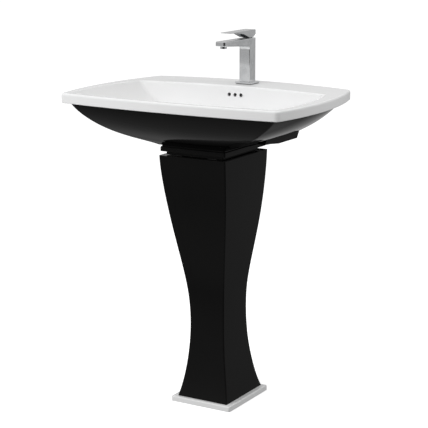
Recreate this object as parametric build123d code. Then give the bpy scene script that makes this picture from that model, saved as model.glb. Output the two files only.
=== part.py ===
from build123d import *

import os
from math import cos, pi, sin

# Pedestal sink: a ceramic basin on a flared pedestal, with a single-lever mixer and its waste.
# The origin is the centre of the foot, on the floor. +Y points at the wall, +Z up, millimetres.

# ---- Driving dimensions: the basin ----
RIM_TOP = 850.0
RIM_BAND = 26.0
LEDGE_UNDERSIDE = RIM_TOP - RIM_BAND
RIM_FRONT_CORNER = (319.0, -273.0)
RIM_BACK_CORNER = (298.0, 172.0)
RIM_BOWS = (19.5, 31.0, 44.0)
RIM_CORNER_RADIUS = 15.0
RIM_TOP_ROUNDING = 6.0
RIM_UNDER_ROUNDING = 2.5
RIM_MOUTH_ROUNDING = 5.0
WALL_Y = RIM_BACK_CORNER[1] + RIM_BOWS[2]

# Each level of the bowl's inner face: height, front corner, back corner, bows, corner radius.
BOWL_LEVELS = [
    (850.0, (300.0, -256.0), (286.0, 48.0), (17.0, 20.0, 34.0), 14.0),
    (838.0, (290.0, -250.0), (277.0, 47.5), (16.0, 20.0, 33.5), 15.0),
    (800.0, (252.0, -222.0), (238.0, 44.0), (14.0, 18.0, 30.0), 20.0),
    (775.0, (206.0, -194.0), (196.0, 34.0), (12.0, 16.0, 26.0), 28.0),
    (760.0, (160.0, -160.0), (152.0, 14.0), (9.0, 12.0, 18.0), 40.0),
    (752.0, (105.0, -118.0), (100.0, -8.0), (6.0, 8.0, 10.0), 50.0),
]
BOWL_FLOOR = BOWL_LEVELS[-1][0]
CHINA_WALL = 8.0
GLAZE_GAP = 0.5

# Each level of the underside, from the rim down to the neck, in the same terms.
HULL_LEVELS = [
    (824.0, (302.0, -256.0), (280.0, 155.0), (19.0, 29.0, 42.0), 5.0),
    (800.0, (280.0, -247.0), (257.0, 163.0), (18.0, 26.0, 36.0), 5.0),
    (770.0, (236.0, -229.0), (219.0, 170.0), (16.0, 21.0, 28.0), 5.0),
    (745.0, (181.0, -202.0), (179.0, 178.0), (13.0, 15.0, 20.0), 5.0),
    (725.0, (121.0, -166.0), (140.0, 186.0), (8.0, 8.0, 12.0), 5.0),
    (716.0, (101.0, -148.0), (124.0, 190.0), (4.0, 4.0, 8.0), 5.0),
]
HULL_WALL = 10.0
NECK_COVE = (95.0, -139.5, 72.0)
NECK_COVE_TOP = 718.0
NECK_TOP = 711.0
NECK_BAND_BOTTOM = 698.0
NECK_BAND = (98.0, -143.0, 75.0)
NECK_BAND_ROUNDING = 4.0
SPIGOT = (86.0, -131.0, 54.0)
SPIGOT_BOTTOM = 689.0
NECK_HOLLOW = (70.0, -115.0, 40.0)
KEEL_BOTTOM = 699.0
KEEL_TOP = 724.0
KEEL_HALF_WIDTHS = (118.0, 126.0)
KEEL_FRONT = 30.0
# The keel's lower edge, seen from the side, from its front to where it runs level: Y and height.
KEEL_RISE = [(30.0, 707.0), (60.0, 705.0), (110.0, 699.0)]
WALL_PAD_TOP = 806.0
WALL_PAD_HALF_WIDTH = 118.0
REAR_POCKET = (106.0, 112.0, 202.0)
SIDE_POCKET = (205.0, 96.0, 146.0, 780.0)
POCKET_CORNER = 8.0
NECK_HOLLOW_TOP = 765.0
NECK_CORNER = 4.0
SPIGOT_CORNER = 3.0
WALL_PAD_FRONT = 170.0
HULL_HOLLOW_REACH = 400.0
WALL_BOLT_SPACING = 190.0
WALL_BOLT_HEIGHT = 770.0
WALL_BOLT_HOLE_RADIUS = 7.0
WALL_BOLT_HOLE_START = 190.0

# ---- Driving dimensions: the drain and the overflow ----
DRAIN_Y = -35.0
DRAIN_HOLE_RADIUS = 23.0
DRAIN_BOSS_RADIUS = 34.0
DRAIN_BOSS_BOTTOM = 712.0
DRAIN_SEAT_DEPTH = 2.5
DRAIN_SEAT = BOWL_FLOOR - DRAIN_SEAT_DEPTH
OVERFLOW_RADIUS = 5.25
OVERFLOW_PITCH = 18.0
OVERFLOW_HEIGHT = 826.0
OVERFLOW_START = 40.0
DUCT_OUTER_HALF = 24.0
DUCT_INNER_HALF = 20.0
DUCT_WALL = 5.0
DUCT_ROOM = 3.0
DUCT_DEPTH = (90.0, 101.0)
DUCT_TOP = 832.0
DUCT_LOW = (729.0, 740.0)

# ---- Driving dimensions: the pedestal ----
# Each level of the column: height, half width, front, back.
COLUMN_LEVELS = [
    (15.0, 77.0, -95.0, 98.0),
    (60.0, 67.5, -82.5, 82.0),
    (120.0, 58.5, -74.5, 69.0),
    (180.0, 53.5, -70.5, 60.0),
    (230.0, 52.5, -70.0, 55.5),
    (300.0, 55.5, -75.0, 52.0),
    (380.0, 65.0, -89.0, 58.5),
    (470.0, 78.5, -108.0, 70.5),
    (560.0, 90.5, -126.0, 77.5),
    (640.0, 98.0, -140.0, 80.0),
    (687.0, 100.0, -145.5, 81.0),
]
COLUMN_WALL = 12.0
COLUMN_CORNER_RADIUS = 3.0
COLUMN_TOP = COLUMN_LEVELS[-1][0]
COLUMN_BOTTOM = COLUMN_LEVELS[0][0]
COLUMN_LIP_THICKNESS = 22.0
COLUMN_LIP_OPENING = (72.0, -117.0, 44.0)
BACK_OPENING = [(55.0, 46.0), (230.0, 30.0), (400.0, 44.0), (630.0, 72.0)]
BACK_OPENING_REACH = 120.0
LIP_CORNER = 8.0
PAD_SIZE = (26.0, 9.0)
PAD_X = 52.0
PAD_INSETS = (6.5, 5.5)
PLINTH_HALF = (91.6, 105.6)
PLINTH_ROUNDING = 3.5
PLINTH_CORNER_RADIUS = 4.0
FLOOR_HOLE_SPACING = 84.0
FLOOR_HOLE_RADIUS = 4.0
LUG_RADIUS = 12.0
LUG_HEIGHT = 14.0
LUG_ARM = (58.0, 28.0)

# ---- Driving dimensions: the tap ----
TAP_Y = 146.0
TAP_HOLE_RADIUS = 17.5
TAP_PLATE_HALF = 25.0
TAP_PLATE_THICKNESS = 4.0
TAP_PLATE_CORNER = 2.0
TAP_PLATE_ROUNDING = 1.5
TAP_SEAL_HALF = 23.0
TAP_SEAL_THICKNESS = 1.5
TAP_SEAL_CLEARANCE = 0.2
TAP_PLATE_CLEARANCE = 0.1
TAP_BASE = RIM_TOP + TAP_SEAL_THICKNESS + TAP_PLATE_THICKNESS
TAP_COLUMN_HALF = 16.5
TAP_TOP = 973.6
TAP_EDGE_ROUNDING = 2.2
SPOUT_TIP_Y = -1.0
SPOUT_TIP_HEIGHTS = (962.4, 974.6)
SPOUT_TIP_CORNER = 8.0
SPOUT_ROOT_HEIGHT = 952.2
SPOUT_ROOT_RADIUS = 9.0
SPOUT_WATERWAY = (3.2, 966.4)
TAP_SHANK_RADIUS = 16.0
TAP_SHANK_BOTTOM = 836.0
INLET_OFFSET = (7.5, -4.0)
INLET_RADIUS = 4.5
INLET_DEPTH = 16.0
WATERWAY_RADIUS = 2.6
STUD_Y = TAP_Y + 9.0
STUD_RADIUS = 4.0
STUD_BOTTOM = 768.0
STUD_CLEARANCE = 0.1
CHAMBER_RADIUS = 13.5
CHAMBER_FLOOR = 928.0
AERATOR_Y = 17.6
AERATOR_THREAD_RADIUS = 7.6
AERATOR_CLEARANCE = 0.15
AERATOR_POCKET_TOP = 970.8
AERATOR_FLANGE = (9.0, 954.8, 960.4)
AERATOR_ROUNDING = 0.8
AERATOR_BORE_RADIUS = 6.6
AERATOR_HOLE = (0.7, 2.2)
AERATOR_HOLE_REACH = 5
AERATOR_HOLE_STEPS = 2
AERATOR_INSERT = (6.5, 0.6, 6.0)
AERATOR_SEAL = (7.4, 5.2, 1.2)
SADDLE_RADIUS = 24.0
SADDLE_THICKNESS = 3.0
SADDLE_SLOT_HALF = 13.0
SADDLE_SLOT_REACH = 29.0
SADDLE_SLOT_BACK = 1.5
SADDLE_CLEARANCE = 0.3
SADDLE_SLOT_CORNER = 5.0
TAP_NUT_FLATS = 12.0
TAP_NUT_HEIGHT = 16.0

# ---- Driving dimensions: the cartridge and the lever ----
HOUSING = (13.3, 929.0, 964.0)
HOUSING_HOLLOW = (11.8, 938.0, 960.0)
HOUSING_MOUTH = (8.6, 959.0, 965.0)
HOUSING_OUTLET = (3.0, 954.0)
WINDOW_DEPTH = 3.5
PORT_SEAL_RADII = (3.8, 2.7)
DISC_PORT_RADIUS = 2.2
FIXED_DISC = (11.7, 938.0, 943.0)
MOVING_DISC = (7.0, 943.0, 948.0)
DISC_SOCKET = (6.6, 945.5)
CARRIER = (11.5, 948.2, 959.7)
CARRIER_NECK = (8.45, 959.7, 970.6)
CARRIER_SLOT_HALF = 3.3
CARRIER_LOW_SLOT = (-8.4, 3.4, 948.0)
CARRIER_HIGH_SLOT = (-3.6, 6.8, 971.0)
LIFT_PIVOT = 962.0
PIN_RADIUS = 1.2
PIN_HOLE_RADIUS = 1.25
PIN_HALF_LENGTH = 8.0
STEM_HALF = 3.0
STEM_HEIGHTS = (950.0, 989.0)
STEM_TIP_HALF = 2.0
STEM_TIP_BOTTOM = 946.4
STEM_CORNER = 0.6
RETAINING_RING = (13.35, 8.9, 964.0, 970.0)
RETAINING_NOTCH = (1.5, 12.0, 967.0)
RETAINING_NOTCHES = 6
LEVER_HALF_WIDTH = 16.0
LEVER_TOP = 995.6
LEVER_TIP_Y = 29.0
LEVER_BACK_Y = 162.5
LEVER_BACK_LEAN = 1.0
# The underside of the lever's blade, seen from the side, from back to front: Y and height.
LEVER_UNDERSIDE = [(162.5, 983.5), (97.0, 987.5), (70.0, 992.5), (29.0, 994.1)]
LEVER_FOOT_DEPTH = (130.5, 150.0)
LEVER_FOOT_BOTTOM = 975.8
LEVER_ROOT_CENTRE = (0.0, 129.75, 985.6)
LEVER_ROOT_LEAN = (0.0, 0.061, 0.998)
LEVER_ROOT_DEPTH = 64.9
LEVER_SOCKET_HALF = 3.1
LEVER_SOCKET_HEIGHTS = (970.0, 989.5)
SCREW_HEIGHT = 988.5
SCREW_RADIUS = 2.44
SCREW_HOLE_RADIUS = 2.5
SCREW_START = TAP_Y + STEM_HALF + 0.05
SCREW_END = 156.8
SCREW_KEY = (1.25, 2.0)
CAP_RADIUS = 3.36
CAP_HOLE_RADIUS = 3.4
CAP_START = 157.6
CAP_HOLE_START = 157.5
CAP_SINK = 0.2

# ---- Driving dimensions: the waste ----
FLANGE_RADIUS = 32.0
FLANGE_THICKNESS = 3.0
FLANGE_ROUNDING = 1.8
FLANGE_TUBE_LENGTH = 16.0
FLANGE_TUBE_CLEARANCE = 0.1
FLANGE_TUBE_BORE_RADIUS = 13.5
FLANGE_STEP_BORE_RADIUS = 15.0
FLANGE_BOTTOM = DRAIN_SEAT + 1.5
PLUG_SEAT_DEPTH = 5.0
PLUG_SEAT = FLANGE_BOTTOM - PLUG_SEAT_DEPTH
PLUG_RADIUS = 16.2
PLUG_CLEARANCE = 0.4
PLUG_TOP = PLUG_SEAT + 8.2
PLUG_ROUNDING = 2.5
PLUG_STEM = (4.0, 700.0)
PLUG_SEAL_THICKNESS = 2.0
PLUG_SEAL_INSET = 0.6
PLUG_SEAL_BORE_RADIUS = 4.3
GUIDE_BARREL = (7.0, 690.0, 719.0)
GUIDE_BORE = (4.05, 694.0)
GUIDE_SPOKES = 3
GUIDE_SPOKE = (3.0, 5.0, 703.5)
GUIDE_SPOKE_CLEARANCE = 0.6
WASTE_SEAL_RADIUS = 31.0
WASTE_SEAL_CLEARANCES = (0.3, 0.2)
WASTE_LOWER_SEAL_THICKNESS = 6.0
WASTE_THREAD_RADIUS = 20.9
WASTE_BORE_RADIUS = 18.4
WASTE_BOTTOM = 652.0
WASTE_TOP = DRAIN_SEAT + 0.4
WASTE_STEP = (15.5, 698.0, 701.0)
WASTE_STEP_OVERLAP = 0.5
WASTE_SLOT = (60.0, 12.0, 8.0, 730.5)
WASTE_NUT_FLATS = 56.0
WASTE_NUT_HEIGHT = 11.0

# ---- Driving dimensions: the bottle trap ----
PIPE_RADIUS = 16.0
PIPE_BORE_RADIUS = 14.2
PIPE_BOTTOM = 540.0
PIPE_COLLAR_RADIUS = 20.6
PIPE_COLLAR_HEIGHTS = (WASTE_BOTTOM - 4.2, WASTE_BOTTOM - 2.0)
INLET_SEAL_RADII = (20.4, 15.2)
INLET_NUT = (26.5, 24, WASTE_BOTTOM - 8.0, WASTE_BOTTOM + 14.0)
NUT_LIP_RADIUS = 24.0
RIB_GROOVE_RADIUS = 1.2
RIB_GROOVE_OFFSET = 0.5
TRAP_RADIUS = 30.0
TRAP_WALL = 3.0
TRAP_BODY = (548.0, 612.0)
TRAP_NECK_RADIUS = 21.0
TRAP_NECK_TOP = TRAP_BODY[1] + 12.0
TRAP_NECK_SEAL = (20.5, 3.0)
TRAP_NECK_NUT = (26.0, 24, 11.0)
TRAP_NECK_LIP = 4.0
TRAP_CUP_RADIUS = 33.0
TRAP_CUP_BOTTOM = 512.0
TRAP_CUP_FLOOR = 4.0
TRAP_CUP_ROUNDING = 8.0
TRAP_CUP_OVERLAP = 14.0
TRAP_CUP_SEAL_THICKNESS = 2.2
TRAP_CUP_SEAL_CLEARANCE = 0.2
TRAP_OUTLET_HEIGHT = 590.0
TRAP_OUTLET_REACH = 52.0
TRAP_OUTLET_END = DRAIN_Y + TRAP_OUTLET_REACH
TRAP_OUTLET_RADIUS = 20.0
TRAP_OUTLET_BORE = (14.0, 15.0)
TRAP_SOCKET_DEPTH = 14.0
OUTLET_SEAL = (19.5, 3.0)
OUTLET_NUT_RADIUS = 25.0
OUTLET_NUT_REACH = (12.0, 7.0)
OUTLET_NUT_RIBS = 20

LEAST_CORNER_RADIUS = 2.0
FIT_CLEARANCE = 0.06
SLIDE_CLEARANCE = 0.25
CUT = 1.0


# ---- Shared shapes ----
def bowed_outline(level, grow=0.0, drop=0.0):
    """A four-sided outline with shallow arcs for sides and rounded corners."""
    height, (front_x, front_y), (back_x, back_y), bows, radius = level
    front_bow, side_bow, back_bow = bows
    front_x, front_y = front_x + grow, front_y - grow
    back_x, back_y = back_x + grow, back_y + grow
    side_x = (front_x + back_x) / 2 + side_bow
    side_y = (front_y + back_y) / 2
    sides = [
        ThreePointArc((-front_x, front_y), (0, front_y - front_bow), (front_x, front_y)),
        ThreePointArc((front_x, front_y), (side_x, side_y), (back_x, back_y)),
        ThreePointArc((back_x, back_y), (0, back_y + back_bow), (-back_x, back_y)),
        ThreePointArc((-back_x, back_y), (-side_x, side_y), (-front_x, front_y)),
    ]
    face = make_face(sides)
    rounding = max(radius + grow / 2, LEAST_CORNER_RADIUS)
    return Pos(0, 0, height - drop) * fillet(face.vertices(), rounding)


def block(half_width, front, back, bottom, top, radius=0.0):
    """An upright block, centred in X, with its upright corners rounded."""
    plan = Rectangle(2 * half_width, back - front)
    if radius:
        plan = fillet(plan.vertices(), radius)
    return Pos(0, (front + back) / 2, bottom) * extrude(plan, top - bottom)


def rod(radius, bottom, top, x=0.0, y=0.0):
    """An upright cylinder."""
    return Pos(x, y, (bottom + top) / 2) * Cylinder(radius, top - bottom)


def ring(outer, inner, bottom, top, x=0.0, y=0.0):
    """An upright tube or washer."""
    return rod(outer, bottom, top, x, y) - rod(inner, bottom - CUT, top + CUT, x, y)


def rod_y(radius, start, end, x=0.0, z=0.0):
    """A cylinder along Y."""
    return Pos(x, (start + end) / 2, z) * Rot(90, 0, 0) * Cylinder(radius, end - start)


def rod_x(radius, half_length, y, z):
    """A cylinder along X, centred on the middle plane."""
    return Pos(0, y, z) * Rot(0, 90, 0) * Cylinder(radius, 2 * half_length)


def side_profile(points, half_width):
    """A shape drawn in the YZ plane and extruded the same way to both sides."""
    face = make_face(Polyline(*[(0, y, z) for y, z in points], close=True))
    return extrude(face, half_width, dir=(1, 0, 0), both=True)


def hexagon(across_flats, bottom, top, x=0.0, y=0.0):
    """An upright hexagonal prism, as for a nut."""
    plan = RegularPolygon(across_flats / 2, 6, major_radius=False)
    return Pos(x, y, bottom) * extrude(plan, top - bottom)


def ribbed_nut(outer, bore, bottom, top, ribs, y):
    """A hand-tightened plastic nut with grip ribs round it."""
    nut = ring(outer, bore, bottom, top, 0, y)
    reach = outer + RIB_GROOVE_OFFSET
    for index in range(ribs):
        angle = 2 * pi * index / ribs
        x, groove_y = reach * cos(angle), y + reach * sin(angle)
        nut -= rod(RIB_GROOVE_RADIUS, bottom - CUT, top + CUT, x, groove_y)
    return nut


# ---- The basin ----
def bowl_solid(grow=0.0, drop=0.0):
    """The space inside the bowl, or its outside where it is grown and dropped by the wall."""
    return loft([bowed_outline(level, grow, drop) for level in BOWL_LEVELS])


def overflow_duct(half_width, wall):
    """The cast channel behind and under the bowl, wall thick round the water's way."""
    front, back = DUCT_DEPTH
    floor, ceiling = DUCT_LOW
    upright = block(half_width, front - wall, back + wall, floor - wall, DUCT_TOP + wall)
    under = block(half_width, DRAIN_Y, back + wall, floor - wall, ceiling + wall)
    return upright + under


def basin_bowl():
    """The white half of the casting: rim, bowl, overflow channel and drain boss."""
    rim_level = (LEDGE_UNDERSIDE, RIM_FRONT_CORNER, RIM_BACK_CORNER, RIM_BOWS, RIM_CORNER_RADIUS)
    rim = extrude(bowed_outline(rim_level), RIM_BAND)
    rim = fillet(rim.faces().sort_by(Axis.Z)[-1].edges(), RIM_TOP_ROUNDING)
    rim = fillet(rim.faces().sort_by(Axis.Z)[0].edges(), RIM_UNDER_ROUNDING)
    china = rim + bowl_solid(CHINA_WALL, CHINA_WALL)
    china += overflow_duct(DUCT_OUTER_HALF, DUCT_WALL)
    china += rod(DRAIN_BOSS_RADIUS, DRAIN_BOSS_BOTTOM, BOWL_FLOOR, 0, DRAIN_Y)
    china -= bowl_solid()
    mouth_area = bowed_outline(BOWL_LEVELS[0], CUT)
    mouth = [edge for edge in china.edges() if mouth_area.face().is_inside(edge @ 0.5)]
    china = fillet(mouth, RIM_MOUTH_ROUNDING)
    china -= overflow_duct(DUCT_INNER_HALF, 0.0)
    for index in (-1, 0, 1):
        x = index * OVERFLOW_PITCH
        china -= rod_y(OVERFLOW_RADIUS, OVERFLOW_START, DUCT_DEPTH[1], x, OVERFLOW_HEIGHT)
    china -= rod(DRAIN_HOLE_RADIUS, DRAIN_BOSS_BOTTOM - CUT, BOWL_FLOOR + CUT, 0, DRAIN_Y)
    china -= rod(DRAIN_BOSS_RADIUS, DRAIN_SEAT, BOWL_FLOOR + CUT, 0, DRAIN_Y)
    china -= rod(TAP_HOLE_RADIUS, LEDGE_UNDERSIDE - CUT, RIM_TOP + CUT, 0, TAP_Y)
    return china


def keel():
    """The low boss behind the neck that runs back to the wall, with a rising lower edge."""
    depth = WALL_Y - KEEL_FRONT
    low = Pos(0, 0, KEEL_BOTTOM) * Rectangle(2 * KEEL_HALF_WIDTHS[0], depth)
    high = Pos(0, 0, KEEL_TOP) * Rectangle(2 * KEEL_HALF_WIDTHS[1], depth)
    body = Pos(0, KEEL_FRONT + depth / 2, 0) * loft([low, high])
    edge = [(KEEL_FRONT, KEEL_TOP)] + KEEL_RISE + [(WALL_Y, KEEL_BOTTOM), (WALL_Y, KEEL_TOP)]
    return body & side_profile(edge, KEEL_HALF_WIDTHS[1])


def neck():
    """The cove, the band and the spigot that stands inside the top of the pedestal."""
    cove = block(*NECK_COVE, NECK_BAND_BOTTOM, NECK_COVE_TOP, NECK_CORNER)
    band = block(*NECK_BAND, NECK_BAND_BOTTOM, NECK_TOP, NECK_CORNER)
    band = fillet(band.faces().sort_by(Axis.Z)[-1].edges(), NECK_BAND_ROUNDING)
    return cove + band + block(*SPIGOT, SPIGOT_BOTTOM, NECK_TOP, SPIGOT_CORNER)


def basin_underside():
    """The black half of the casting: a hollow hull with its neck, keel and wall face."""
    hull = loft([bowed_outline(level) for level in HULL_LEVELS])
    pad = block(WALL_PAD_HALF_WIDTH, WALL_PAD_FRONT, WALL_Y, KEEL_BOTTOM, WALL_PAD_TOP)
    shell = hull + neck() + keel() + pad
    gap = CHINA_WALL + GLAZE_GAP
    shell -= bowl_solid(gap, gap)
    inside = loft([bowed_outline(level, -HULL_WALL, -HULL_WALL) for level in HULL_LEVELS])
    reach = HULL_HOLLOW_REACH
    shell -= inside & block(reach, -reach, REAR_POCKET[1], SPIGOT_BOTTOM, LEDGE_UNDERSIDE)
    below = SPIGOT_BOTTOM - CUT
    shell -= block(*NECK_HOLLOW, below, NECK_HOLLOW_TOP, POCKET_CORNER)
    shell -= block(DUCT_OUTER_HALF + DUCT_ROOM, 0, REAR_POCKET[1] + DUCT_WALL, below, LEDGE_UNDERSIDE)
    shell -= block(*REAR_POCKET, KEEL_BOTTOM - CUT, LEDGE_UNDERSIDE, POCKET_CORNER)
    half_width, front, back, bottom = SIDE_POCKET
    shell -= block(half_width, front, back, bottom, LEDGE_UNDERSIDE, POCKET_CORNER)
    for x in (-WALL_BOLT_SPACING / 2, WALL_BOLT_SPACING / 2):
        shell -= rod_y(WALL_BOLT_HOLE_RADIUS, WALL_BOLT_HOLE_START, WALL_Y + CUT, x, WALL_BOLT_HEIGHT)
    return shell


# ---- The pedestal ----
def column_section(level, inset=0.0):
    """One level of the column in plan, set in all round where asked."""
    height, half_width, front, back = level
    plan = Rectangle(2 * (half_width - inset), back - front - 2 * inset)
    plan = fillet(plan.vertices(), COLUMN_CORNER_RADIUS)
    return Pos(0, (front + back) / 2, height) * plan


def back_opening():
    """The flared opening up the back of the column that lets the pipes through."""
    rising = [(half, 0, height) for height, half in BACK_OPENING]
    falling = [(-half, 0, height) for height, half in reversed(BACK_OPENING)]
    sides = [Spline(*rising), Line(rising[-1], falling[0]), Spline(*falling), Line(falling[-1], rising[0])]
    return extrude(make_face(sides), BACK_OPENING_REACH, dir=(0, 1, 0))


def pedestal_column():
    """The flared column, hollow and open at the back, with two lugs for its floor bolts."""
    lip_bottom = COLUMN_TOP - COLUMN_LIP_THICKNESS
    column = loft([column_section(level) for level in COLUMN_LEVELS])
    hollow = loft([column_section(level, COLUMN_WALL) for level in COLUMN_LEVELS])
    column -= hollow & block(COLUMN_TOP, -COLUMN_TOP, COLUMN_TOP, COLUMN_BOTTOM, lip_bottom)
    column -= block(*COLUMN_LIP_OPENING, lip_bottom - CUT, COLUMN_TOP + CUT, LIP_CORNER)
    column -= back_opening()
    lug_top = COLUMN_BOTTOM + LUG_HEIGHT
    arm_x, arm_length = LUG_ARM
    for side in (-1, 1):
        x = side * FLOOR_HOLE_SPACING / 2
        arm = Pos(side * arm_x, 0, COLUMN_BOTTOM + LUG_HEIGHT / 2) * Box(arm_length, 2 * LUG_RADIUS, LUG_HEIGHT)
        column += rod(LUG_RADIUS, COLUMN_BOTTOM, lug_top, x, 0) + arm
        column -= rod(FLOOR_HOLE_RADIUS, COLUMN_BOTTOM - CUT, lug_top + CUT, x, 0)
    return column


def pedestal_plinth():
    """The square foot, with holes under the column's lugs."""
    plan = fillet(Rectangle(2 * PLINTH_HALF[0], 2 * PLINTH_HALF[1]).vertices(), PLINTH_CORNER_RADIUS)
    plinth = extrude(plan, COLUMN_BOTTOM)
    plinth = fillet(plinth.faces().sort_by(Axis.Z)[-1].edges(), PLINTH_ROUNDING)
    for x in (-FLOOR_HOLE_SPACING / 2, FLOOR_HOLE_SPACING / 2):
        plinth -= rod(FLOOR_HOLE_RADIUS, -CUT, COLUMN_BOTTOM + CUT, x, 0)
    return plinth


def pedestal_pads():
    """Four rubber pads that carry the neck on the top of the column."""
    width, depth = PAD_SIZE
    thickness = SPIGOT_BOTTOM - COLUMN_TOP
    pads = []
    for x in (-PAD_X, PAD_X):
        for y in (SPIGOT[1] + PAD_INSETS[0], SPIGOT[2] - PAD_INSETS[1]):
            pads.append(Pos(x, y, COLUMN_TOP + thickness / 2) * Box(width, depth, thickness))
    return Compound(children=pads)


# ---- The tap ----
def tap_base_seal():
    """The thin rubber gasket between the tap's plate and the ledge."""
    half = TAP_SEAL_HALF
    seal = block(half, TAP_Y - half, TAP_Y + half, RIM_TOP, RIM_TOP + TAP_SEAL_THICKNESS, TAP_PLATE_CORNER)
    return seal - rod(TAP_SHANK_RADIUS + TAP_SEAL_CLEARANCE, RIM_TOP - CUT, TAP_BASE, 0, TAP_Y)


def tap_base_plate():
    """The square plate the tap stands on."""
    half = TAP_PLATE_HALF
    bottom = RIM_TOP + TAP_SEAL_THICKNESS
    plate = block(half, TAP_Y - half, TAP_Y + half, bottom, TAP_BASE, TAP_PLATE_CORNER)
    plate = fillet(plate.faces().sort_by(Axis.Z)[-1].edges(), TAP_PLATE_ROUNDING)
    return plate - rod(TAP_SHANK_RADIUS + TAP_PLATE_CLEARANCE, RIM_TOP, TAP_BASE + CUT, 0, TAP_Y)


def tap_profile():
    """The square column and its spout, solid, with rounded edges."""
    front, back = TAP_Y - TAP_COLUMN_HALF, TAP_Y + TAP_COLUMN_HALF
    tip_bottom, tip_top = SPOUT_TIP_HEIGHTS
    outline = [
        (back, TAP_BASE), (back, TAP_TOP), (SPOUT_TIP_Y, tip_top),
        (SPOUT_TIP_Y, tip_bottom), (front, SPOUT_ROOT_HEIGHT), (front, TAP_BASE),
    ]
    body = side_profile(outline, TAP_COLUMN_HALF)
    root = body.edges().filter_by(Axis.X).sort_by_distance((0, front, SPOUT_ROOT_HEIGHT))[0]
    body = fillet(root, SPOUT_ROOT_RADIUS)
    tip_corners = body.edges().filter_by(Axis.Z).sort_by(Axis.Y)[:2]
    body = fillet(tip_corners, SPOUT_TIP_CORNER)
    above_base = body.edges().filter_by(lambda edge: edge.center().Z > TAP_BASE + CUT)
    sides = above_base.filter_by(lambda edge: abs(abs(edge.center().X) - TAP_COLUMN_HALF) < CUT / 100)
    return fillet(sides, TAP_EDGE_ROUNDING)


def tap_body():
    """The tap's body with its shank, chamber, inlets and waterways."""
    body = tap_profile() + rod(TAP_SHANK_RADIUS, TAP_SHANK_BOTTOM, TAP_BASE, 0, TAP_Y)
    body -= rod(CHAMBER_RADIUS, CHAMBER_FLOOR, TAP_TOP + CUT, 0, TAP_Y)
    inlet_top = TAP_SHANK_BOTTOM + INLET_DEPTH
    for x in (-INLET_OFFSET[0], INLET_OFFSET[0]):
        y = TAP_Y + INLET_OFFSET[1]
        body -= rod(INLET_RADIUS, TAP_SHANK_BOTTOM - CUT, inlet_top, x, y)
        body -= rod(WATERWAY_RADIUS, TAP_SHANK_BOTTOM, CHAMBER_FLOOR + CUT, x, y)
    body -= rod(STUD_RADIUS + STUD_CLEARANCE, TAP_SHANK_BOTTOM - CUT, inlet_top, 0, STUD_Y)
    pocket_radius = AERATOR_THREAD_RADIUS + AERATOR_CLEARANCE
    body -= rod(pocket_radius, AERATOR_FLANGE[1], AERATOR_POCKET_TOP, 0, AERATOR_Y)
    radius, height = SPOUT_WATERWAY
    return body - rod_y(radius, AERATOR_Y, TAP_Y - CHAMBER_RADIUS + CUT, 0, height)


def tap_stud():
    """The threaded stud that pulls the tap down on the ledge."""
    return rod(STUD_RADIUS, STUD_BOTTOM, TAP_SHANK_BOTTOM + INLET_DEPTH - CUT, 0, STUD_Y)


def saddle(top):
    """A horseshoe washer that slips round the hoses and is held by the stud."""
    bottom = top - SADDLE_THICKNESS
    front, back = TAP_Y - SADDLE_SLOT_REACH, TAP_Y + SADDLE_SLOT_BACK
    washer = rod(SADDLE_RADIUS, bottom, top, 0, TAP_Y)
    washer -= block(SADDLE_SLOT_HALF, front, back, bottom - CUT, top + CUT, SADDLE_SLOT_CORNER)
    return washer - rod(STUD_RADIUS + SADDLE_CLEARANCE, bottom - CUT, top + CUT, 0, STUD_Y)


def tap_rubber_saddle():
    """The soft saddle against the underside of the ledge."""
    return saddle(LEDGE_UNDERSIDE)


def tap_steel_saddle():
    """The steel saddle that spreads the nut's pull."""
    return saddle(LEDGE_UNDERSIDE - SADDLE_THICKNESS)


def tap_nut():
    """The long nut on the stud."""
    top = LEDGE_UNDERSIDE - 2 * SADDLE_THICKNESS
    bottom = top - TAP_NUT_HEIGHT
    nut = hexagon(TAP_NUT_FLATS, bottom, top, 0, STUD_Y)
    return nut - rod(STUD_RADIUS + FIT_CLEARANCE, bottom - CUT, top + CUT, 0, STUD_Y)


# ---- The cartridge ----
def cartridge_ports(radius, bottom, top):
    """The two inlet holes through the cartridge's base, as solids to cut away."""
    left = rod(radius, bottom, top, -INLET_OFFSET[0], TAP_Y + INLET_OFFSET[1])
    right = rod(radius, bottom, top, INLET_OFFSET[0], TAP_Y + INLET_OFFSET[1])
    return left + right


def cartridge_housing():
    """The brass cup that holds the discs, with its two inlets and its outlet window."""
    _, bottom, _ = HOUSING
    hollow_radius, hollow_bottom, _ = HOUSING_HOLLOW
    radius, height = HOUSING_OUTLET
    housing = rod(*HOUSING, 0, TAP_Y) - rod(*HOUSING_HOLLOW, 0, TAP_Y) - rod(*HOUSING_MOUTH, 0, TAP_Y)
    housing -= cartridge_ports(WATERWAY_RADIUS, bottom - CUT, hollow_bottom + CUT)
    wall_middle = (hollow_radius + HOUSING[0]) / 2
    start, end = TAP_Y - wall_middle - WINDOW_DEPTH, TAP_Y - wall_middle + WINDOW_DEPTH
    return housing - rod_y(radius, start, end, 0, height)


def cartridge_seals():
    """The two rings between the cartridge and the tap's chamber floor."""
    outer, inner = PORT_SEAL_RADII
    rings = []
    for x in (-INLET_OFFSET[0], INLET_OFFSET[0]):
        rings.append(ring(outer, inner, CHAMBER_FLOOR, HOUSING[1], x, TAP_Y + INLET_OFFSET[1]))
    return Compound(children=rings)


def cartridge_fixed_disc():
    """The lower ceramic disc, with a port for each inlet."""
    _, bottom, top = FIXED_DISC
    return rod(*FIXED_DISC, 0, TAP_Y) - cartridge_ports(DISC_PORT_RADIUS, bottom - CUT, top + CUT)


def cartridge_moving_disc():
    """The upper ceramic disc, with a socket for the spindle's tip."""
    half, bottom = DISC_SOCKET
    socket = block(half / 2, TAP_Y - half / 2, TAP_Y + half / 2, bottom, MOVING_DISC[2] + CUT)
    return rod(*MOVING_DISC, 0, TAP_Y) - socket


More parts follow.
